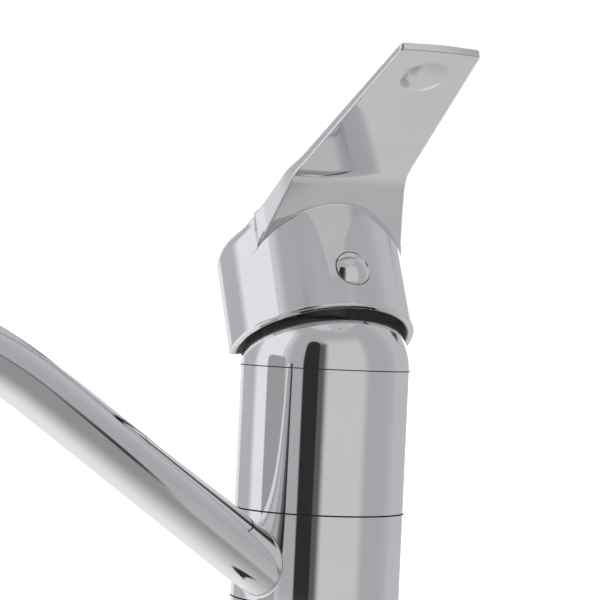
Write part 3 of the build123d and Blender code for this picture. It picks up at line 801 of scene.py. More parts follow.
@dataclass
class DeckFixing:
    """Gasket, threaded shank, washers and nut under the foot. Ends are heights, bottom and top."""

    shank_radius: float = 16.5
    shank_bore: float = 13.9
    shank_ends: Pair = (-50.0, 14.0)
    shank_rows: Pair = (-49.2, -0.6)
    shank_sides: int = 96
    shank_sharp: float = 40.0
    thread_top: float = -1.0
    thread_depth: float = 0.85
    thread_slope: float = 2.6
    thread_crest: float = 0.12
    thread_wall: float = 0.2
    pitch: float = 1.5
    rows_per_pitch: int = 8
    washer_radius: float = 24.0
    washer_clearance: float = 0.1
    steel_washer: Pair = (-35.0, -33.0)
    rubber_washer: Pair = (-33.0, -30.0)
    nut_flats: float = 41.0
    nut_ends: Pair = (-43.0, -35.0)
    nut_clearance: float = 0.05
    nut_face: float = 0.985
    nut_bevel: tuple[Pair, ...] = ((0.783, 0.5), (math.inf, 1.4))
    bore_bevel: float = 0.6
    nut_sharp: float = 25.0
    points_per_flat: int = 12

    def build(self, finishes: Finishes) -> None:
        """Builds and dresses the deck fixing.

        Args:
            finishes: The tap's materials.
        """
        settle(self.shank(finishes.brass), Body.FIXED, Slot.BRASS, "mounting_shank")
        settle(self.nut(finishes.steel), Body.FIXED, Slot.STEEL, "mounting_nut")
        washer = self.washer("steel_washer", self.steel_washer, 0.3, finishes.steel)
        settle(washer, Body.FIXED, Slot.STEEL, "metal_washer")
        pad = self.washer("rubber_pad", self.rubber_washer, 0.5, finishes.rubber)
        settle(pad, Body.FIXED, Slot.RUBBER, "rubber_washer")
        dress("base_gasket", finishes.rubber)

    def washer(self, name: str, ends: Pair, rounding: float, material: Material) -> Object:
        """Builds a flat ring round the shank.

        Args:
            name: The piece's name.
            ends: Its lower and upper face.
            rounding: Its outer edges' radius.
            material: Its finish.

        Returns:
            The piece.
        """
        bore, rim = self.shank_radius + self.washer_clearance, self.washer_radius
        bottom, top = ends
        edge = ((rim, bottom, rounding), (rim, top, rounding))
        return turn_piece(name, section((bore, bottom), *edge, (bore, top)), [material])

    def thread_tree(self, sizes: dict[str, float], material: Material) -> NodeTree:
        """Geometry nodes that cut a helical thread into a plain round wall.

        Args:
            sizes: The tree's inputs: Pitch, Depth, Radius, Start and End, in metres.
            material: What the result wears.

        Returns:
            The tree.
        """
        group, given, result = new_group(
            "cut_thread", "GeometryNodeTree", {"Geometry": None, **sizes}, ("Geometry",)
        )
        x, y, z = axes_of(group, term(group, "GeometryNodeInputPosition"))
        flat = term(group, "ShaderNodeCombineXYZ", {0: x, 1: y})
        reach = term(group, "ShaderNodeVectorMath", {0: flat}, "Value", operation="LENGTH")
        outward = term(group, "ShaderNodeVectorMath", {0: flat}, operation="NORMALIZE")
        start, end, pitch, depth = (given[title] for title in ("Start", "End", "Pitch", "Depth"))
        turn = y.math("ARCTAN2", x) / (2 * math.pi)
        tooth = (z / pitch - turn).math("PINGPONG", 0.5) * self.thread_slope - self.thread_crest
        cut = term(group, "ShaderNodeClamp", {0: tooth, 1: 0.0, 2: 1.0})
        below = z.ease(end - pitch, end, 1.0, 0.0)
        above = z.ease(start, start + pitch)
        wall = reach.math("GREATER_THAN", given["Radius"] - depth * self.thread_wall)
        shift = (below * above) * (cut * wall) * (depth * -1.0)
        feeds = {0: outward, "Scale": shift}
        offset = term(group, "ShaderNodeVectorMath", feeds, operation="SCALE")
        feeds = {"Geometry": given["Geometry"], "Offset": offset}
        moved = term(group, "GeometryNodeSetPosition", feeds)
        real = term(group, "GeometryNodeRealizeInstances", {0: moved})
        worn = term(group, "GeometryNodeSetMaterial", {"Geometry": real, "Material": material})
        feed(group, result, {"Geometry": worn})
        return group

    def shank(self, material: Material) -> Object:
        """Builds the hollow shank and cuts its thread.

        Args:
            material: Its finish.

        Returns:
            The piece.
        """
        outer, bore, (low, high) = self.shank_radius, self.shank_bore, self.shank_ends
        heights = np.arange(*self.shank_rows, self.pitch / self.rows_per_pitch)
        rows = section(
            (bore, low, 0.2),
            (outer, low, 0.5),
            *((outer, height, 0.0) for height in heights),
            (outer, high, 0.3),
            (bore, high, 0.2),
        )
        profile, _ = round_profile(rows, True, 2)
        fresh = np.linalg.norm(np.diff(profile, axis=0), axis=1) > WELD
        profile = profile[np.concatenate([[True], fresh])]
        points, faces = spin(profile, self.shank_sides), hoop_faces(len(profile), self.shank_sides)
        blank = make_piece("shank_blank", points, faces, None, [material])
        sizes = {"Pitch": self.pitch, "Depth": self.thread_depth, "Radius": outer}
        sizes = {**sizes, "Start": low, "End": self.thread_top}
        sizes = {title: size * MM for title, size in sizes.items()}
        modifier = blank.modifiers.new("thread", "NODES")
        modifier.node_group = self.thread_tree(sizes, material)
        for item in modifier.node_group.interface.items_tree:
            if item.in_out == "INPUT" and item.name in sizes:
                modifier[item.identifier] = sizes[item.name]
        mesh = applied(blank)
        mesh.name = "threaded_shank"
        wear(mesh, [material])
        shade(mesh, self.shank_sharp)
        return link_object("threaded_shank", mesh)

    def nut(self, material: Material) -> Object:
        """Builds the hexagon nut, chamfered at both ends as nuts are.

        Args:
            material: Its finish.

        Returns:
            The piece.
        """
        (bottom, top), bevel = self.nut_ends, self.bore_bevel
        bore, half = self.shank_radius + self.nut_clearance, self.nut_flats / 2
        angles = np.arange(6 * self.points_per_flat) * math.pi / 3 / self.points_per_flat
        flat = half / np.cos((angles % (math.pi / 3)) - math.pi / 6)
        slopes = ((half + more, height) for more, height in self.nut_bevel)
        ends = [(half * self.nut_face, 0.0), *slopes]
        rows = [(np.minimum(flat, limit), bottom + height) for limit, height in ends]
        rows += [(np.minimum(flat, limit), top - height) for limit, height in reversed(ends)]
        hole = ((bevel, top), (0.0, top - bevel), (0.0, bottom + bevel), (bevel, bottom))
        rows += [(np.full_like(flat, bore + more), height) for more, height in hole]
        points = np.concatenate(
            [np.stack([r * np.cos(angles), r * np.sin(angles), 0 * r + h], 1) for r, h in rows]
        )
        faces = hoop_faces(len(rows), len(angles))
        piece = make_piece("hexagon_nut", points, faces, None, [material])
        shade(piece.data, self.nut_sharp)
        return piece


@dataclass
class Column:
    """Foot, upper body and domed cover: the upright column that stays still.

    The photograph's cover is a little flatter than a ball, so its rise is that share of one.
    """

    radius: float = 25.0
    foot_bottom: float = 0.6
    foot_top: float = 36.0
    core_socket: float = 17.55
    shank_socket: Pair = (16.55, 14.0)
    gasket_groove: Triple = (17.75, 23.25, 2.0)
    ring_top: float = 62.0
    upper_bores: tuple[float, ...] = (21.45, 20.15, 17.5)
    pivot_height: float = 103.5
    cover_rise: float = 16.0
    cover_wall: float = 2.2
    cover_ledge: float = 5.0
    cover_thread: Pair = (21.45, 4.5)
    cover_flatness: float = 0.9
    cover_arcs: tuple[int, int] = (30, 16)
    arc_ends: Pair = (0.03, 0.02)
    arc_rounding: float = 40.0
    segments: int = 256
    edge: float = 0.15

    def build(self, finishes: Finishes) -> None:
        """Builds and dresses the column.

        Args:
            finishes: The tap's materials.
        """
        worn, sides = [finishes.chrome, finishes.seam], self.segments
        corners, seams = self.foot_profile(), (self.foot_top,)
        foot = turn_piece("foot", corners, worn, segments=sides, seams=seams)
        radii, seams = [self.radius, *self.upper_bores], (self.ring_top, self.pivot_height)
        upper = polished_copy("upper_body", "body_casting", radii, worn, seams)
        corners, seams = self.cover_profile(), (self.pivot_height,)
        cover = turn_piece("domed_cover", corners, worn, segments=sides, seams=seams)
        for piece, node in ((foot, "base_body"), (upper, "body_casting"), (cover, "dome_cover")):
            settle(piece, Body.FIXED, Slot.CHROME, node)

    def foot_profile(self) -> list[Corner]:
        """The foot's section, with its gasket groove and its two bores.

        Returns:
            The corners.
        """
        low, high = self.foot_bottom, self.foot_top
        shank, floor = self.shank_socket
        inner, outer, roof = self.gasket_groove
        return section(
            (self.radius, low, 0.3),
            (self.radius, high, self.edge),
            (self.core_socket, high, 0.1),
            (self.core_socket, floor, 0.05),
            (shank, floor, 0.05),
            (shank, low, 0.1),
            (inner, low, 0.05),
            (inner, roof, 0.05),
            (outer, roof, 0.05),
            (outer, low, 0.05),
        )

    def cover_profile(self) -> list[Corner]:
        """The cover's section: two flattened arcs about the pivot, with a threaded foot.

        Returns:
            The corners.
        """
        r, inside, z = self.radius, self.radius - self.cover_wall, self.pivot_height
        top, lip = (math.asin(self.cover_rise / size) for size in (r, inside))
        ledge = math.asin(self.cover_ledge / inside)
        crown = z + self.cover_flatness * self.cover_rise
        (thread, step), (start, end) = self.cover_thread, self.arc_ends
        return section(
            (r, z, self.edge),
            *self.arc(r, np.linspace(start, top - end, self.cover_arcs[0])),
            (r * math.cos(top), crown, 0.3),
            (inside * math.cos(lip), crown, 0.2),
            *self.arc(inside, np.linspace(lip - start, ledge, self.cover_arcs[1])),
            (thread, z + step, 0.05),
            (thread, z, 0.05),
        )

    def arc(self, radius: float, angles: np.ndarray) -> list[Triple]:
        """Rows of a flattened arc about the pivot, from its angles."""
        rise = self.cover_flatness * radius * np.sin(angles)
        rows = zip(radius * np.cos(angles), self.pivot_height + rise)
        return [(reach, height, self.arc_rounding) for reach, height in rows]


@dataclass
class Spout:
    """Swivel ring, tube, collar and aerator: what turns with the spout."""

    heading: float = 201.5
    slope: float = 30.4
    axis_height: float = 32.8
    root_radius: float = 8.8
    radius: float = 8.2
    wall: float = 1.3
    taper_start: float = 8.75
    first_ring: float = 30.0
    straight_reach: float = 110.0
    straight_rings: int = 60
    arch_radius: float = 150.0
    arch_rings: int = 40
    bend_radius: float = 28.0
    bend_rings: int = 48
    end_drops: tuple[float, ...] = (2.0, 5.7, 6.0)
    ring_radius: float = 25.0
    ring_bore: float = 17.58
    ring_ends: Pair = (36.15, 61.85)
    socket_depth: float = 1.0
    braze: float = 0.5
    braze_rows: int = 9
    braze_lift: float = 0.01
    outlet: Pair = (-199.02, -78.40)
    collar_radius: float = 12.0
    collar_ends: Pair = (75.97, 89.97)
    collar_socket: Pair = (8.25, 6.0)
    collar_way: float = 6.9
    collar_mouth: Pair = (10.55, 6.5)
    housing_height: float = 5.0
    housing_way: float = 7.8
    housing_land: float = 4.85
    housing_thread: Pair = (10.5, 10.1)
    housing_seat: Pair = (8.6, 3.3)
    sides: int = 128

    def build(self, finishes: Finishes) -> None:
        """Builds and dresses the spout.

        Args:
            finishes: The tap's materials.
        """
        radii, worn = [self.ring_radius, self.ring_bore], [finishes.chrome, finishes.seam]
        ring = polished_copy("spout_ring", "swivel_ring", radii, worn, self.ring_ends)
        settle(ring, Body.SPOUT, Slot.CHROME, "swivel_ring")
        settle(self.tube(finishes.tube_chrome), Body.SPOUT, Slot.CHROME, "spout_tube")
        for name, corners, node in (
            ("outlet_collar", self.collar_profile(), "spout_collar"),
            ("aerator_shell", self.housing_profile(), "aerator_housing"),
        ):
            piece = turn_piece(name, corners, [finishes.chrome], self.outlet)
            settle(piece, Body.SPOUT, Slot.CHROME, node)
        dress("aerator_gasket", finishes.rubber)
        dress("aerator_insert", finishes.white)
        dress("aerator_screen", finishes.steel)

    def route(self) -> tuple[np.ndarray, np.ndarray, np.ndarray]:
        """The tube's centre line.

        Returns:
            Reach and height along it, its directions there, and the tube's radii.
        """
        slope = math.radians(self.slope)
        along = np.array((math.cos(slope), math.sin(slope)))
        start = np.array((0.0, self.axis_height))
        length = self.straight_reach / math.cos(slope)
        steps = np.linspace(self.first_ring, length, self.straight_rings)
        taper = (steps - self.taper_start) / (length - self.taper_start)
        spots, ways = [start + along * s for s in steps], [along] * len(steps)
        radii = list(self.root_radius + (self.radius - self.root_radius) * taper)
        for turn, size, chords, angle in (
            (slope, self.arch_radius, self.arch_rings, slope),
            (math.pi / 2, self.bend_radius, self.bend_rings, 0.0),
        ):
            middle = spots[-1] + np.array((ways[-1][1], -ways[-1][0])) * size
            for k in range(1, chords + 1):
                a = angle - turn * k / chords
                ways.append(np.array((math.cos(a), math.sin(a))))
                spots.append(middle - np.array((math.sin(a), -math.cos(a))) * size)
        for drop in self.end_drops:
            spots.append(np.array((spots[-1][0], self.collar_ends[1] - drop)))
            ways.append(np.array((0.0, -1.0)))
        radii += [self.radius] * (len(spots) - len(radii))
        return np.array(spots), np.array(ways), np.array(radii)

    def tube(self, material: Material) -> Object:
        """Builds the tube, with the braze round its root.

        Args:
            material: Its finish.

        Returns:
            The piece.
        """
        spots, ways, radii = self.route()
        turn = math.radians(self.heading)
        plan = np.array((math.cos(turn), math.sin(turn), 0.0))
        side = np.array((-math.sin(turn), math.cos(turn), 0.0))
        up = np.array((0.0, 0.0, 1.0))
        angles = np.arange(self.sides)[:, None] * 2 * math.pi / self.sides
        rings, facing = [], []
        for inset, sign in ((0.0, 1.0), (self.wall, -1.0)):
            course, out = [], []
            for spot, way, radius in zip(spots, ways, radii):
                over = plan * -way[1] + up * way[0]
                wheel = side * np.cos(angles) + over * np.sin(angles)
                course.append(plan * spot[0] + up * spot[1] + wheel * (radius - inset))
                out.append(wheel * sign)
            way = plan * ways[0][0] + up * ways[0][1]
            root = self.to_wall(course[0], way, self.ring_radius - self.socket_depth)
            if inset:
                rings += [*reversed(course), root]
                facing += [*reversed(out), out[0]]
            else:
                junction = self.to_wall(course[0], way, self.ring_radius)
                fillet, fillet_facing = self.braze_rings(junction, way, out[0])
                rings += [root, *fillet, *course]
                facing += [out[0], *fillet_facing, *out]
        points, normals = np.concatenate(rings), np.concatenate(facing)
        faces = hoop_faces(len(rings), self.sides)
        return make_piece("spout_pipe", points, faces, normals, [material])

    @staticmethod
    def to_wall(ring: np.ndarray, way: np.ndarray, radius: float) -> np.ndarray:
        """Slides a ring of points back along the tube to an upright round wall.

        Args:
            ring: The points.
            way: The tube's direction.
            radius: The wall's radius.

        Returns:
            The points on the wall.
        """
        a = way[0] ** 2 + way[1] ** 2
        b = ring[:, 0] * way[0] + ring[:, 1] * way[1]
        c = ring[:, 0] ** 2 + ring[:, 1] ** 2 - radius**2
        step = (-b + np.sqrt(b * b - a * c)) / a
        return ring + way * step[:, None]

    def braze_rings(
        self, junction: np.ndarray, way: np.ndarray, wheel: np.ndarray
    ) -> tuple[list, list]:
        """The small hollow fillet between tube and ring.

        Args:
            junction: Where the tube meets the ring's wall.
            way: The tube's direction.
            wheel: The tube's outward directions.

        Returns:
            The fillet's rings of points and their directions.
        """
        wall = unit(junction * (1.0, 1.0, 0.0))
        away = unit(wheel - wall * (wheel * wall).sum(1)[:, None])
        foot, top = junction + away * self.braze, junction + way * self.braze
        rings, facing = [], []
        for u in np.linspace(0.0, 1.0, self.braze_rows):
            rings.append(foot * (1 - u) ** 2 + junction * 2 * u * (1 - u) + top * u * u)
            facing.append(unit(wall * (1 - u) + wheel * u))
        reach = np.hypot(rings[0][:, 0], rings[0][:, 1])
        rings[0] = rings[0] + wall * (self.ring_radius + self.braze_lift - reach)[:, None]
        return rings, facing

    def collar_profile(self) -> list[Corner]:
        """The collar's section, with the tube's socket and the aerator's threaded mouth.

        Returns:
            The corners.
        """
        r, (low, high) = self.collar_radius, self.collar_ends
        (socket, depth), (mouth, rise) = self.collar_socket, self.collar_mouth
        return section(
            (r, low, 0.15),
            (r, high, 1.5),
            (socket, high, 0.15),
            (socket, high - depth, 0.05),
            (self.collar_way, high - depth, 0.1),
            (self.collar_way, low + rise, 0.1),
            (mouth, low + rise, 0.05),
            (mouth, low, 0.1),
        )

    def housing_profile(self) -> list[Corner]:
        """The aerator housing's section, with its thread land, bore and lip.

        Returns:
            The corners.
        """
        low = self.collar_ends[0] - self.housing_height
        land = low + self.housing_land
        (thread, top), (seat, floor) = self.housing_thread, self.housing_seat
        return section(
            (self.housing_way, low, 0.3),
            (self.collar_radius, low, 0.6),
            (self.collar_radius, land, 0.3),
            (thread, land, 0.05),
            (thread, low + top, 0.3),
            (seat, low + top, 0.1),
            (seat, low + floor, 0.05),
            (self.housing_way, low + floor, 0.1),
        )


@dataclass
class Cartridge:
    """The ceramic cartridge, its seals and the nut that holds it; the CAD shapes stay.

    Each field is named for a finish and lists the nodes that wear it.
    """

    white: tuple[str, ...] = (
        "lower_slip_ring", "upper_slip_ring", "cartridge_housing", "turning_sleeve",
    )
    grey: tuple[str, ...] = ("cartridge_base", "disc_carrier")
    rubber: tuple[str, ...] = ("lower_o_ring", "upper_o_ring", "port_seals")
    ceramic: tuple[str, ...] = ("fixed_disc", "moving_disc")
    steel: tuple[str, ...] = ("stem", "stem_pin")
    brass: tuple[str, ...] = ("cartridge_nut",)

    def build(self, finishes: Finishes) -> None:
        """Dresses the cartridge.

        Args:
            finishes: The tap's materials.
        """
        for row in fields(self):
            for node in getattr(self, row.name):
                dress(node, getattr(finishes, row.name))


def unit(vectors: np.ndarray) -> np.ndarray:
    """The directions of rows of vectors."""
    return vectors / np.maximum(np.linalg.norm(vectors, axis=1), TINY)[:, None]


def shared(*shapes: np.ndarray) -> np.ndarray:
    """The distance to what shapes share, with sharp edges."""
    return reduce(np.maximum, shapes)


def both(a: np.ndarray, b: np.ndarray, rounding: float) -> np.ndarray:
    """The distance to what two shapes share, with the edge between them rounded."""
    beyond = np.hypot(np.maximum(a + rounding, 0.0), np.maximum(b + rounding, 0.0))
    return np.minimum(np.maximum(a, b), -rounding) + beyond


def either(a: np.ndarray, b: np.ndarray, width: object) -> np.ndarray:
    """The distance to two shapes together, with the valley between them filled over a width."""
    near = np.maximum(width - np.abs(a - b), 0.0) / width
    return np.minimum(a, b) - near * near * width * 0.25


def plane(u: np.ndarray, v: np.ndarray, start: Pair, end: Pair) -> np.ndarray:
    """The distance past a line, whose solid is on its left.

    Args:
        u: The points' first coordinate.
        v: Their second.
        start: A point of the line.
        end: A later point of it.

    Returns:
        The distances.
    """
    along = np.array((end[0] - start[0], end[1] - start[1]))
    along = along / np.linalg.norm(along)
    return (u - start[0]) * along[1] - (v - start[1]) * along[0]


def rounded_can(
    rho: np.ndarray, z: np.ndarray, radius: float, top: float, corner: float
) -> np.ndarray:
    """The distance to a round can with a rounded shoulder and no bottom.

    Args:
        rho: The points' distance from its axis.
        z: Their height.
        radius: Its radius.
        top: Its top's height.
        corner: The shoulder's radius.

    Returns:
        The distances.
    """
    across, high = rho - (radius - corner), z - (top - corner)
    beyond = np.hypot(np.maximum(across, 0), np.maximum(high, 0))
    return beyond + np.minimum(np.maximum(across, high), 0) - corner


def repeated(cells: np.ndarray, times: int) -> np.ndarray:
    """Repeats each cell of a grid along its three axes."""
    return np.repeat(np.repeat(np.repeat(cells, times, 0), times, 1), times, 2)


@dataclass
class Handle:
    """Cap, neck and blade in one casting, measured from the pivot with the lever closed.

    The form is one distance field, so that the neck flows into the cap as a polished casting does.
    Points of the side view are (y, z), and those of the plan are (half the width, y).
    """

    lift: float = 26.3
    stem_lean: float = 13.15
    pivot_height: float = 103.5
    # The cap and its hollow
    cap_radius: float = 27.6
    cap_inside: float = 25.4
    rim: float = 7.1
    rim_edge: float = 0.5
    top: float = 42.0
    shoulder: float = 6.5
    ceiling: float = 37.0
    ceiling_corner: float = 2.0
    hollow_edge: float = 0.25
    back_relief: float = 2.7
    back_edge: float = 0.3
    # The neck and blade from the side
    rise_foot: Pair = (-13.25, 40.0)
    bend: Pair = (-35.0, 45.0)
    bend_blend: float = 1.6
    kink: Pair = (-31.7, 47.7)
    kink_edge: float = 0.6
    brow: Pair = (-39.7, 48.0)
    tip: Pair = (-98.0, 51.4)
    tip_under: Pair = (-97.4, 49.4)
    neck_slope: float = 34.9
    edge: float = 0.4
    # The neck and blade from above
    flare: Pair = (23.2, -14.6)
    flare_blend: float = 0.5
    kink_width: float = 18.5
    brow_width: float = 17.1
    brow_blend: float = 0.3
    tip_width: float = 12.0
    tip_bow: float = 0.5
    tip_edge: float = 1.1
    plan_back: float = 4.0
    # How far the outline stays inside the cap, from where it widens, and how fast it then comes out
    cap_inset: float = 0.5
    cap_start: float = 0.2
    cap_growth: float = 1.2
    cap_edge: float = 1.0
    # The soft ledge where the neck runs into the shoulder
    front_blend: float = 0.2
    side_blend: float = 2.0
    ledge_reach: float = 0.45
    ledge_depth: float = 2.0
    ledge_fade: float = 1.5
    root_depth: float = 7.0
    root_back: float = 8.0
    # The finger button under the tip
    button_radius: float = 6.8
    button_height: float = 1.1
    button_from_tip: float = 11.8
    button_root: float = 0.5
    button_blend: float = 0.25
    # Inside: the stem's boss, its web, the screw's pad and their holes
    boss_radius: float = 7.5
    boss_bottom: float = 14.0
    boss_edge: float = 0.5
    web_width: float = 4.5
    web_rise: float = 4.2
    web_front: float = 1.0
    web_edge: float = 0.6
    pad_radius: float = 6.6
    pad_front: float = -23.2
    rib_bite: Pair = (1.1, 2.0)
    rib_fillet: float = 0.8
    socket_half: float = 4.05
    socket_top: float = 30.55
    screw_radius: float = 2.55
    screw_ends: Pair = (-27.0, -2.0)
    plug_height: float = 19.1
    pocket_radius: float = 5.35
    pocket_depth: float = 2.7
    pocket_edge: float = 0.25
    # The grid that the field is netted on
    pitch: float = 0.36
    block: int = 8
    block_reach: float = 1.85
    box: tuple[Triple, Triple] = ((-28.8, -99.2, 6.2), (28.8, 28.8, 52.6))
    probe: float = 0.004
    pulls: int = 3
    skin_depth: float = 0.3
    wall_depth: float = 1.7
    most_faces: int = 190000

    def outline(self, x: np.ndarray, y: np.ndarray) -> np.ndarray:
        """The distance to the neck and blade from above, kept within the cap where they meet it.

        Args:
            x: Across the lever, from its middle.
            y: Along it, negative towards the tip.

        Returns:
            The distances, negative inside.
        """
        kink, brow, tip = (
            (self.kink_width, self.kink[0]),
            (self.brow_width, self.brow[0]),
            (self.tip_width, self.tip[0]),
        )
        blade = either(plane(x, y, tip, brow), plane(x, y, brow, kink), self.brow_blend)
        plan = either(blade, plane(x, y, kink, self.flare), self.flare_blend)
        out = self.cap_growth * np.maximum(self.flare[1] - self.cap_start - y, 0.0)
        within = np.hypot(x, y) - self.cap_radius + self.cap_inset - out
        return np.maximum(both(plan, within, self.cap_edge), y + self.plan_back)

    def ledge(self, plan: np.ndarray, low: np.ndarray) -> np.ndarray:
        """How wide the valley between neck and cap is filled: thin in front, soft at the side.

        Args:
            plan: The distance to the outline from above.
            low: The distance past the underside.

        Returns:
            The widths.
        """
        share = np.maximum(plan - low + self.ledge_reach, -low - self.ledge_depth)
        share = np.clip(share / self.ledge_fade, 0.0, 1.0)
        share = share * share * (3 - 2 * share)
        return self.front_blend + (self.side_blend - self.front_blend) * share

    def outside(self, x: np.ndarray, y: np.ndarray, z: np.ndarray) -> np.ndarray:
        """The distance to the casting's outside form, before it is hollowed.

        Args:
            x: Across the lever.
            y: Along it, negative towards the tip.
            z: Height over the pivot.

        Returns:
            The distances, negative inside.
        """
        x, rho = np.abs(x), np.hypot(x, y)
        cap = rounded_can(rho, z, self.cap_radius, self.top, self.shoulder)
        neck_end = (0.0, self.bend[1] + self.bend[0] * math.tan(math.radians(self.neck_slope)))
        under = plane(y, z, self.tip_under, self.bend), plane(y, z, self.bend, neck_end)
        low = either(*under, self.bend_blend)
        rise = plane(y, z, self.rise_foot, self.kink)
        level = np.minimum(plane(y, z, self.kink, self.brow), plane(y, z, self.brow, self.tip))
        side = both(low, both(rise, level, self.kink_edge), self.edge)
        bow = self.tip_bow * (x / self.tip_width) ** 2
        end = plane(y - bow, z, self.tip, self.tip_under)
        plan = self.outline(x, y)
        blade = both(both(plan, end, self.tip_edge), side, self.edge)
        root = shared(rho - self.cap_radius, plan, low - self.root_depth, rise, y + self.root_back)
        cap, root = (both(shape, self.rim - z, self.rim_edge) for shape in (cap, root))
        solid = either(blade, np.minimum(cap, root), self.ledge(plan, low))
        solid = either(solid, self.finger_button(x, y, z), self.button_blend)
        lift = math.radians(self.lift)
        back = self.back_relief - (z * math.cos(lift) - y * math.sin(lift))
        return both(solid, np.maximum(back, -z), self.back_edge)

    def distance(self, p: np.ndarray) -> np.ndarray:
        """The distance to the finished casting.

        Args:
            p: Points in the lever's own frame, mm.

        Returns:
            One distance each, negative inside.
        """
        x, y, z = p[:, 0], p[:, 1], p[:, 2]
        rho = np.hypot(x, y)
        cavity = rounded_can(rho, z, self.cap_inside, self.ceiling, self.ceiling_corner)
        solid = both(self.outside(x, y, z), -cavity, self.hollow_edge)
        lean = math.radians(self.stem_lean)
        ys = y * math.cos(lean) + z * math.sin(lean)
        zs = z * math.cos(lean) - y * math.sin(lean)
        screw = self.cap_radius * math.sin(lean) + self.plug_height * math.cos(lean)
        boss = both(np.hypot(x, ys) - self.boss_radius, self.boss_bottom - zs, self.boss_edge)
        web = both(np.abs(x) - self.web_width, screw - self.web_rise - zs, self.web_edge)
        web = np.maximum(web, ys - self.web_front)
        plug = np.hypot(x, z - self.plug_height)
        pad = np.maximum(plug - self.pad_radius, y - self.pad_front)
        bite, over = self.rib_bite
        within = np.maximum(rho - self.cap_inside - bite, z - self.ceiling - over)
        ribs = np.maximum(np.minimum(np.minimum(boss, web), pad), within)
        solid = either(solid, ribs, self.rib_fillet)
        square = np.maximum(np.abs(x), np.abs(ys)) - self.socket_half
        socket = np.maximum(square, zs - self.socket_top)
        start, end = self.screw_ends
        hole = shared(np.hypot(x, zs - screw) - self.screw_radius, ys - end, start - ys)
        pocket = np.maximum(plug - self.pocket_radius, y + self.cap_radius - self.pocket_depth)
        return both(shared(solid, -socket, -hole), -pocket, self.pocket_edge)

    def finger_button(self, x: np.ndarray, y: np.ndarray, z: np.ndarray) -> np.ndarray:
        """The distance to the raised button under the blade, a thin slice of a ball.

        Args:
            x: Across the lever.
            y: Along it.
            z: Height over the pivot.

        Returns:
            The distances.
        """
        ball = (self.button_radius**2 + self.button_height**2) / (2 * self.button_height)
        slope = math.atan2(self.tip_under[1] - self.bend[1], self.bend[0] - self.tip_under[0])
        sin, cos, rise = math.sin(slope), math.cos(slope), ball - self.button_height
        y = y - (self.tip_under[0] + self.button_from_tip * cos)
        z = z - (self.tip_under[1] - self.button_from_tip * sin)
        inside = np.sqrt(x**2 + (y - rise * sin) ** 2 + (z - rise * cos) ** 2) - ball
        return np.maximum(inside, y * sin + z * cos - self.button_root)

    def slope_at(self, p: np.ndarray) -> np.ndarray:
        """The field's direction of rise at each point."""
        shifts = np.eye(3) * self.probe
        return unit(np.stack([self.distance(p + d) - self.distance(p - d) for d in shifts], 1))

    def skin(self) -> tuple[np.ndarray, np.ndarray]:
        """Walks the field on a grid and nets its zero level.

        Returns:
            Points in the lever's frame, and faces of four corners.
        """
        h, block = self.pitch, self.block
        low, high = (np.array(corner) for corner in self.box)
        cells = np.ceil((high - low) / h / block).astype(int)
        grid = np.stack(np.meshgrid(*(np.arange(n) for n in cells), indexing="ij"), -1)
        rough = self.distance(low + (grid.reshape(-1, 3) + 0.5) * block * h).reshape(cells)
        near = np.abs(rough) < 0.5 * block * h * self.block_reach
        for axis in range(3):
            near |= np.roll(near, 1, axis) | np.roll(near, -1, axis)
        fine = repeated(near, block)
        value = repeated(np.where(rough > 0, 1.0, -1.0), block)
        value[fine] = self.distance(low + np.argwhere(fine) * h)
        return net_surface(value, low, h)

    def piece(self, finishes: Finishes) -> Object:
        """Builds the handle.

        Args:
            finishes: The tap's materials.

        Returns:
            The piece.
        """
        points, faces = self.skin()
        raw = make_piece("handle_raw", points, faces, None, [])
        thin = raw.modifiers.new("thin", "DECIMATE")
        thin.ratio = min(1.0, self.most_faces / (2 * len(faces)))
        mesh = applied(raw)
        spots = read_rows(mesh.vertices, "co") / MM
        corners = read_rows(mesh.loops, "vertex_index", 1)
        counts = read_rows(mesh.polygons, "loop_total", 1)
        starts = np.cumsum(counts) - counts
        rows = np.split(corners, starts[1:])
        for _ in range(self.pulls):
            spots -= self.slope_at(spots) * self.distance(spots)[:, None]
        normals = self.slope_at(spots)
        middles = np.add.reduceat(spots[corners], starts) / counts[:, None]
        reach = np.hypot(middles[:, 0], middles[:, 1])
        deep = (reach < self.cap_radius - self.wall_depth) & (middles[:, 2] < self.ceiling)
        dull = (np.abs(self.outside(*middles.T)) >= self.skin_depth) | deep
        cos, sin = math.cos(math.radians(self.lift)), math.sin(math.radians(self.lift))
        turn = np.array(((1, 0, 0), (0, cos, -sin), (0, sin, cos)))
        spots, normals = spots @ turn, normals @ turn
        spots[:, 2] += self.pivot_height
        worn = [finishes.cast_chrome, finishes.raw_casting]
        return make_piece("lever_handle", spots, rows, normals, worn, dull)


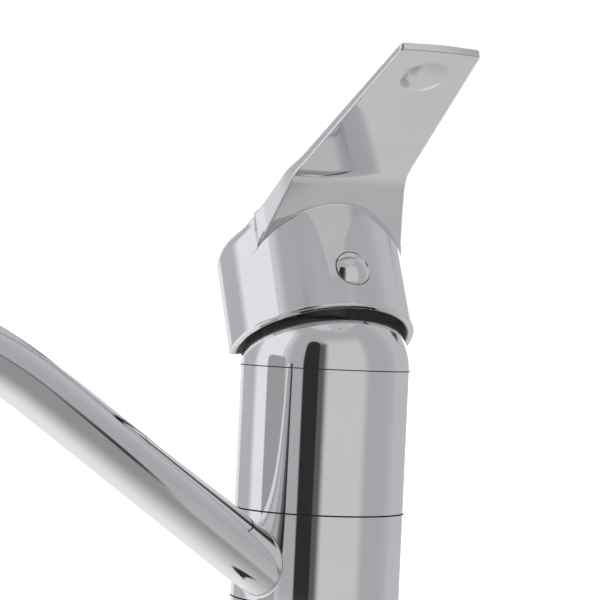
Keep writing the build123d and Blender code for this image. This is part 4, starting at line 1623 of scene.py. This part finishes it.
def net_surface(value: np.ndarray, low: np.ndarray, h: float) -> tuple[np.ndarray, np.ndarray]:
    """Nets the zero level of a field on a grid: one point in each cell that it crosses.

    Args:
        value: The field at the grid's points.
        low: The grid's first point.
        h: Its spacing.

    Returns:
        Points, and faces of four corners that face where the field rises.
    """
    inside = value < 0
    corners = [(i, j, k) for i in (0, 1) for j in (0, 1) for k in (0, 1)]
    nx, ny, nz = (n - 1 for n in value.shape)
    total = sum(inside[i : nx + i, j : ny + j, k : nz + k].astype(np.int8) for i, j, k in corners)
    cells = np.argwhere((total > 0) & (total < len(corners)))
    number = np.full((nx, ny, nz), -1, np.int32)
    number[tuple(cells.T)] = np.arange(len(cells))
    summed, hits = np.zeros((len(cells), 3)), np.zeros(len(cells))
    for a in corners:
        for axis in range(3):
            if a[axis]:
                continue
            b = tuple(v + (n == axis) for n, v in enumerate(a))
            va, vb = value[tuple((cells + a).T)], value[tuple((cells + b).T)]
            cross = (va < 0) != (vb < 0)
            share = va[cross] / (va[cross] - vb[cross])
            summed[cross] += np.array(a) + np.outer(share, np.eye(3)[axis])
            hits[cross] += 1
    points = low + (cells + summed / hits[:, None]) * h
    faces = []
    for axis in range(3):
        u, v = (axis + 1) % 3, (axis + 2) % 3
        ahead = tuple(slice(1, None) if n == axis else slice(1, -1) for n in range(3))
        behind = tuple(slice(None, -1) if n == axis else slice(1, -1) for n in range(3))
        a, b = inside[behind], inside[ahead]
        for change, order in ((a & ~b, 1), (~a & b, -1)):
            spots = np.argwhere(change)
            for n in (u, v):
                spots[:, n] += 1
            ring = []
            for du, dv in ((1, 1), (0, 1), (0, 0), (1, 0)):
                shift = np.zeros(3, int)
                shift[u], shift[v] = -du, -dv
                ring.append(number[tuple((spots + shift).T)])
            faces.append(np.stack(ring, 1)[:, ::order])
    return points, np.concatenate(faces)


@dataclass
class Lever:
    """What the hand moves: handle, grub screw and plug."""

    handle: Handle = field(default_factory=Handle)
    plug_radius: float = 5.2
    plug_recess: float = 0.3
    plug_depth: float = 2.4
    plug_dome: float = 2.0
    plug_rings: int = 24
    plug_shares: Pair = (0.97, 0.03)
    plug_sides: int = 96
    dome_rounding: float = 60.0

    def build(self, finishes: Finishes) -> None:
        """Builds and dresses the lever.

        Args:
            finishes: The tap's materials.
        """
        settle(self.handle.piece(finishes), Body.LEVER, Slot.CHROME, "handle")
        settle(self.plug(finishes.chrome), Body.LEVER, Slot.CHROME, "plug_button")
        dress("grub_screw", finishes.steel)

    def plug(self, material: Material) -> Object:
        """Builds the plug that covers the grub screw.

        Args:
            material: Its finish.

        Returns:
            The piece.
        """
        r, depth, dome = self.plug_radius, self.plug_depth, self.plug_dome
        ball = (r * r + dome**2) / (2 * dome)
        reach = r * np.linspace(*self.plug_shares, self.plug_rings)
        heights = np.sqrt(ball**2 - reach**2) - (ball - dome)
        corners = section(
            (0.0, -depth),
            (r, -depth, 0.2),
            (r, 0.0, 0.1),
            *((a, b, self.dome_rounding) for a, b in zip(reach, heights)),
            (0.0, dome),
        )
        piece = turn_piece("cap_plug", corners, [material], closed=False, segments=self.plug_sides)
        lift = math.radians(self.handle.lift)
        y, z = -self.handle.cap_radius + self.plug_recess, self.handle.plug_height
        forward = y * math.cos(lift) + z * math.sin(lift)
        up = self.handle.pivot_height + z * math.cos(lift) - y * math.sin(lift)
        turn = Matrix.Rotation(math.pi / 2 - lift, 4, "X")
        normals = [turn.to_3x3() @ Vector(n.vector) for n in piece.data.corner_normals]
        piece.data.transform(Matrix.Translation(Vector((0.0, forward, up)) * MM) @ turn)
        piece.data.normals_split_custom_set(normals)
        return piece


# Studio


@dataclass(frozen=True)
class Panel:
    """A soft box, flag or wall that the chrome reflects, placed by direction, in degrees.

    Attributes:
        azimuth: Its middle, from the camera's side, positive to the camera's right.
        elevation: Its middle's height above the horizon.
        half_width: Half its width.
        half_height: Half its height.
        softness: How far its edge fades.
        roundness: Its corners' radius.
        colour: Its light.
    """

    azimuth: float
    elevation: float
    half_width: float
    half_height: float
    softness: float
    roundness: float
    colour: Triple


@dataclass
class Floor:
    """The pale floor, which fades into the white all round.

    To glossy rays it glows with painted light and shade in place of its lit colour: a table,
    lighter at the back and darker towards the camera, with a dark line beside it. That is
    painted by place, in metres: ways are x and y shares, and steps are start, end, tone before
    and tone after.
    """

    centre: Triple = (-90.0, -30.0, -50.05)
    reach: float = 760.0
    sides: int = 128
    rings: int = 24
    colour: float = 0.93
    roughness: float = 0.8
    specular: float = 0.1
    back_way: Pair = (-0.5, 0.87)
    right_way: Pair = (0.65, 0.76)
    # Painted light and shade: the table's tone runs from dark towards the camera to light at the
    # back
    table: tuple[float, ...] = (-0.10, 0.085, 0.31, 0.86)
    beside: tuple[float, ...] = (-0.2, -0.03, 0.46, 0.57)
    beside_right: Pair = (-0.066, -0.052)
    beside_x: Pair = (0.03, 0.07)
    line_offset: float = 0.063
    line_start: float = 0.07
    line_spread: float = 0.10
    line_edge: float = 0.008
    line_x: Pair = (0.08, 0.16)
    line_tone: float = 0.04
    fade: Pair = (0.26, 0.56)
    mirrored_reach: float = 0.25

    def build(self) -> None:
        """Lays the floor."""
        floor = self.disc(self.material())

    def disc(self, material: Material) -> Object:
        """Builds the floor's round mesh.

        Args:
            material: Its material.

        Returns:
            The floor.
        """
        radii = self.reach * np.arange(1, self.rings + 1) / self.rings
        hoops = spin(np.stack([radii, np.zeros(self.rings)], 1), self.sides)
        points = np.concatenate([np.zeros((1, 3)), hoops]) + self.centre
        faces = [(0, 1 + j, 1 + (j + 1) % self.sides) for j in range(self.sides)]
        faces += [face[::-1] for face in hoop_faces(self.rings, self.sides, False, 1)]
        return make_piece("floor", points, faces, None, [material])

    def tone(self, tree: NodeTree, spot: Term) -> Term:
        """Paints the light and shade that the chrome sees on the floor, as a glow.

        Args:
            tree: The material's tree.
            spot: Object coordinates.

        Returns:
            The tone.
        """
        x, y, _ = axes_of(tree, spot)
        back, right = (x * a + y * b for a, b in (self.back_way, self.right_way))
        share = right.ease(*self.beside_right) * x.ease(*self.beside_x)
        table = blend_numbers(tree, share, back.ease(*self.table), back.ease(*self.beside))
        half = (x - self.line_start) * self.line_spread
        off = (right + self.line_offset).math("ABSOLUTE")
        line = off.ease(half, half + self.line_edge, 1.0, 0.0) * x.ease(*self.line_x)
        return blend_numbers(tree, line, table, self.line_tone)

    def material(self) -> Material:
        """Builds the floor's material, clear from below and far out.

        Returns:
            The material.
        """
        material = bpy.data.materials.new("pale_floor")
        material.use_nodes = True
        tree = material.node_tree
        shader = tree.nodes["Principled BSDF"]
        colour = (self.colour, self.colour, self.colour, 1.0)
        feeds = {"Base Color": colour, "Roughness": self.roughness}
        feed(tree, shader, {**feeds, "Specular IOR Level": self.specular})
        spot = term(tree, "ShaderNodeTexCoord", output="Object")
        # Painted light and shade: glossy rays see this glow in place of the lit floor
        mirrored = term(tree, "ShaderNodeEmission", {"Color": self.tone(tree, spot)})
        glossy = term(tree, "ShaderNodeLightPath", output="Is Glossy Ray")
        feeds = {0: glossy, 1: Term(tree, shader.outputs[0]), 2: mirrored}
        seen = term(tree, "ShaderNodeMixShader", feeds)
        feeds = {0: spot, 1: tuple(size * MM for size in self.centre)}
        away = term(tree, "ShaderNodeVectorMath", feeds, "Value", operation="DISTANCE")
        reach = away * (glossy * -self.mirrored_reach + 1.0)
        below = term(tree, "ShaderNodeNewGeometry", output="Backfacing")
        hidden = reach.ease(*self.fade).math("MAXIMUM", below)
        clear = term(tree, "ShaderNodeBsdfTransparent")
        faded = term(tree, "ShaderNodeMixShader", {0: hidden, 1: seen, 2: clear})
        feed(tree, tree.nodes["Material Output"], {"Surface": faded})
        return material


@dataclass
class Studio:
    """Camera, floor, lamps and the pale room that the chrome reflects."""

    camera_place: Triple = (-295.84, -634.42, 117.03)
    camera_side: float = 25.0
    pitch: float = 0.491
    yaw: float = -0.681
    roll: float = 2.619
    lens: float = 142.8
    sensor: float = 36.0
    clip: Pair = (0.02, 50.0)
    lamp_place: Triple = (-550.0, -450.0, 1050.0)
    lamp_aim: Triple = (-50.0, 0.0, 50.0)
    lamp_power: float = 4.0
    lamp_size: float = 900.0
    wall: Triple = (0.428, 0.43, 0.442)
    daylight: Triple = (0.70, 0.70, 0.70)
    white: Triple = (1.0, 1.0, 1.0)
    panels: tuple[Panel, ...] = (
        Panel(0.0, 90.0, 180.0, 24.0, 6.0, 0.0, (0.80, 0.80, 0.81)),
        Panel(-128.0, 0.0, 30.0, 40.0, 8.0, 0.0, (0.53, 0.535, 0.55)),
        Panel(-171.0, 0.0, 24.0, 46.0, 7.0, 0.0, (1.2, 1.2, 1.2)),
        Panel(-80.0, 6.0, 26.0, 44.0, 8.0, 4.0, (0.92, 0.92, 0.93)),
        Panel(-46.0, 0.0, 15.5, 64.0, 1.0, 0.0, (0.43, 0.432, 0.44)),
        Panel(-69.5, -44.0, 10.5, 58.0, 1.0, 6.0, (0.35, 0.355, 0.36)),
        Panel(-69.5, 2.5, 14.5, 11.5, 1.0, 5.0, (0.35, 0.355, 0.36)),
        Panel(26.0, 4.0, 32.0, 42.0, 7.0, 8.0, (0.60, 0.595, 0.585)),
        Panel(148.0, 0.0, 34.0, 60.0, 26.0, 0.0, (0.62, 0.62, 0.64)),
        Panel(-13.0, -9.0, 14.0, 50.0, 5.0, 4.0, (0.10, 0.095, 0.09)),
        Panel(-19.0, -9.0, 10.5, 52.0, 1.2, 9.0, (0.03, 0.029, 0.029)),
        Panel(177.0, 4.0, 20.0, 40.0, 2.0, 4.0, (1.30, 1.30, 1.30)),
        Panel(143.0, 23.0, 9.0, 4.5, 2.5, 3.0, (0.08, 0.08, 0.08)),
    )

    def build(self, effects: Effects) -> None:
        """Builds the studio.

        Args:
            effects: The shared shader groups.
        """
        self.camera()
        self.world(effects)
        Floor().build()
        self.lamp()
        bpy.context.scene.view_settings.view_transform = "Standard"

    def camera(self) -> None:
        """Stands the camera where the photograph was taken from."""
        angles = (self.pitch, self.yaw, self.roll, self.camera_side)
        pitch, yaw, roll, side = (math.radians(v) for v in angles)
        level = math.cos(pitch)
        ahead = Vector((math.sin(yaw) * level, math.cos(yaw) * level, math.sin(pitch)))
        right = Vector((math.cos(yaw), -math.sin(yaw), 0.0))
        up = right.cross(ahead)
        cos, sin = math.cos(roll), math.sin(roll)
        right, up = right * cos + up * sin, up * cos - right * sin
        turn = Matrix.Rotation(-side, 3, "Z") @ Matrix((right, up, -ahead)).transposed()
        data = bpy.data.cameras.new("camera")
        data.lens, data.sensor_width = self.lens, self.sensor
        data.clip_start, data.clip_end = self.clip
        camera = link_object("camera", data)
        camera.matrix_world = Matrix.Translation(Vector(self.camera_place) * MM) @ turn.to_4x4()
        bpy.context.scene.camera = camera

    def world(self, effects: Effects) -> None:
        """Paints the room by direction: white to the eye, panels to chrome, even light to the rest.

        Args:
            effects: The shared shader groups.
        """
        world = bpy.data.worlds.new("studio")
        bpy.context.scene.world = world
        world.use_nodes = True
        tree = world.node_tree
        way = term(tree, "ShaderNodeTexCoord", output="Generated")
        feeds = {"Vector": way, "Angle": math.radians(self.camera_side)}
        turned = term(tree, "ShaderNodeVectorRotate", feeds, rotation_type="Z_AXIS")
        x, y, z = axes_of(tree, turned)
        azimuth = x.math("ARCTAN2", y * -1.0).math("DEGREES")
        elevation = z.math("ARCSINE").math("DEGREES")
        room: object = (*self.wall, 1.0)
        for panel in self.panels:
            feeds = {
                "Azimuth": azimuth,
                "Elevation": elevation,
                "Centre": panel.azimuth,
                "Height Centre": panel.elevation,
                "Half Width": panel.half_width,
                "Half Height": panel.half_height,
                "Softness": panel.softness,
                "Roundness": panel.roundness,
            }
            mask = term(tree, "ShaderNodeGroup", feeds, node_tree=effects.panel)
            room = blend_colours(tree, mask, room, (*panel.colour, 1.0))
        glossy, eye, through = (
            term(tree, "ShaderNodeLightPath", output=f"Is {kind} Ray")
            for kind in ("Glossy", "Camera", "Transmission")
        )
        lit = blend_colours(tree, glossy, (*self.daylight, 1.0), room)
        seen = blend_colours(tree, eye.math("MAXIMUM", through), lit, (*self.white, 1.0))
        feed(tree, tree.nodes["Background"], {"Color": seen})

    def lamp(self) -> None:
        """Hangs one large soft lamp for the shadow; the chrome doesn't show it."""
        data = bpy.data.lights.new("soft_lamp", "AREA")
        data.energy, data.size = self.lamp_power, self.lamp_size * MM
        lamp = link_object("soft_lamp", data)
        spot, aim = Vector(self.lamp_place) * MM, Vector(self.lamp_aim) * MM
        lamp.location = spot
        lamp.rotation_euler = (aim - spot).to_track_quat("-Z", "Y").to_euler()
        lamp.visible_glossy = False


def main() -> None:
    """Builds the tap in order."""
    logging.basicConfig(level=logging.INFO, format="%(name)s: %(message)s")
    effects = Effects()
    finishes = Finishes(effects)
    Studio().build(effects)
    for assembly in (DeckFixing(), Column(), Spout(), Cartridge(), Lever()):
        LOG.info("building the %s", type(assembly).__name__)
        assembly.build(finishes)


if __name__ == "__main__":
    main()
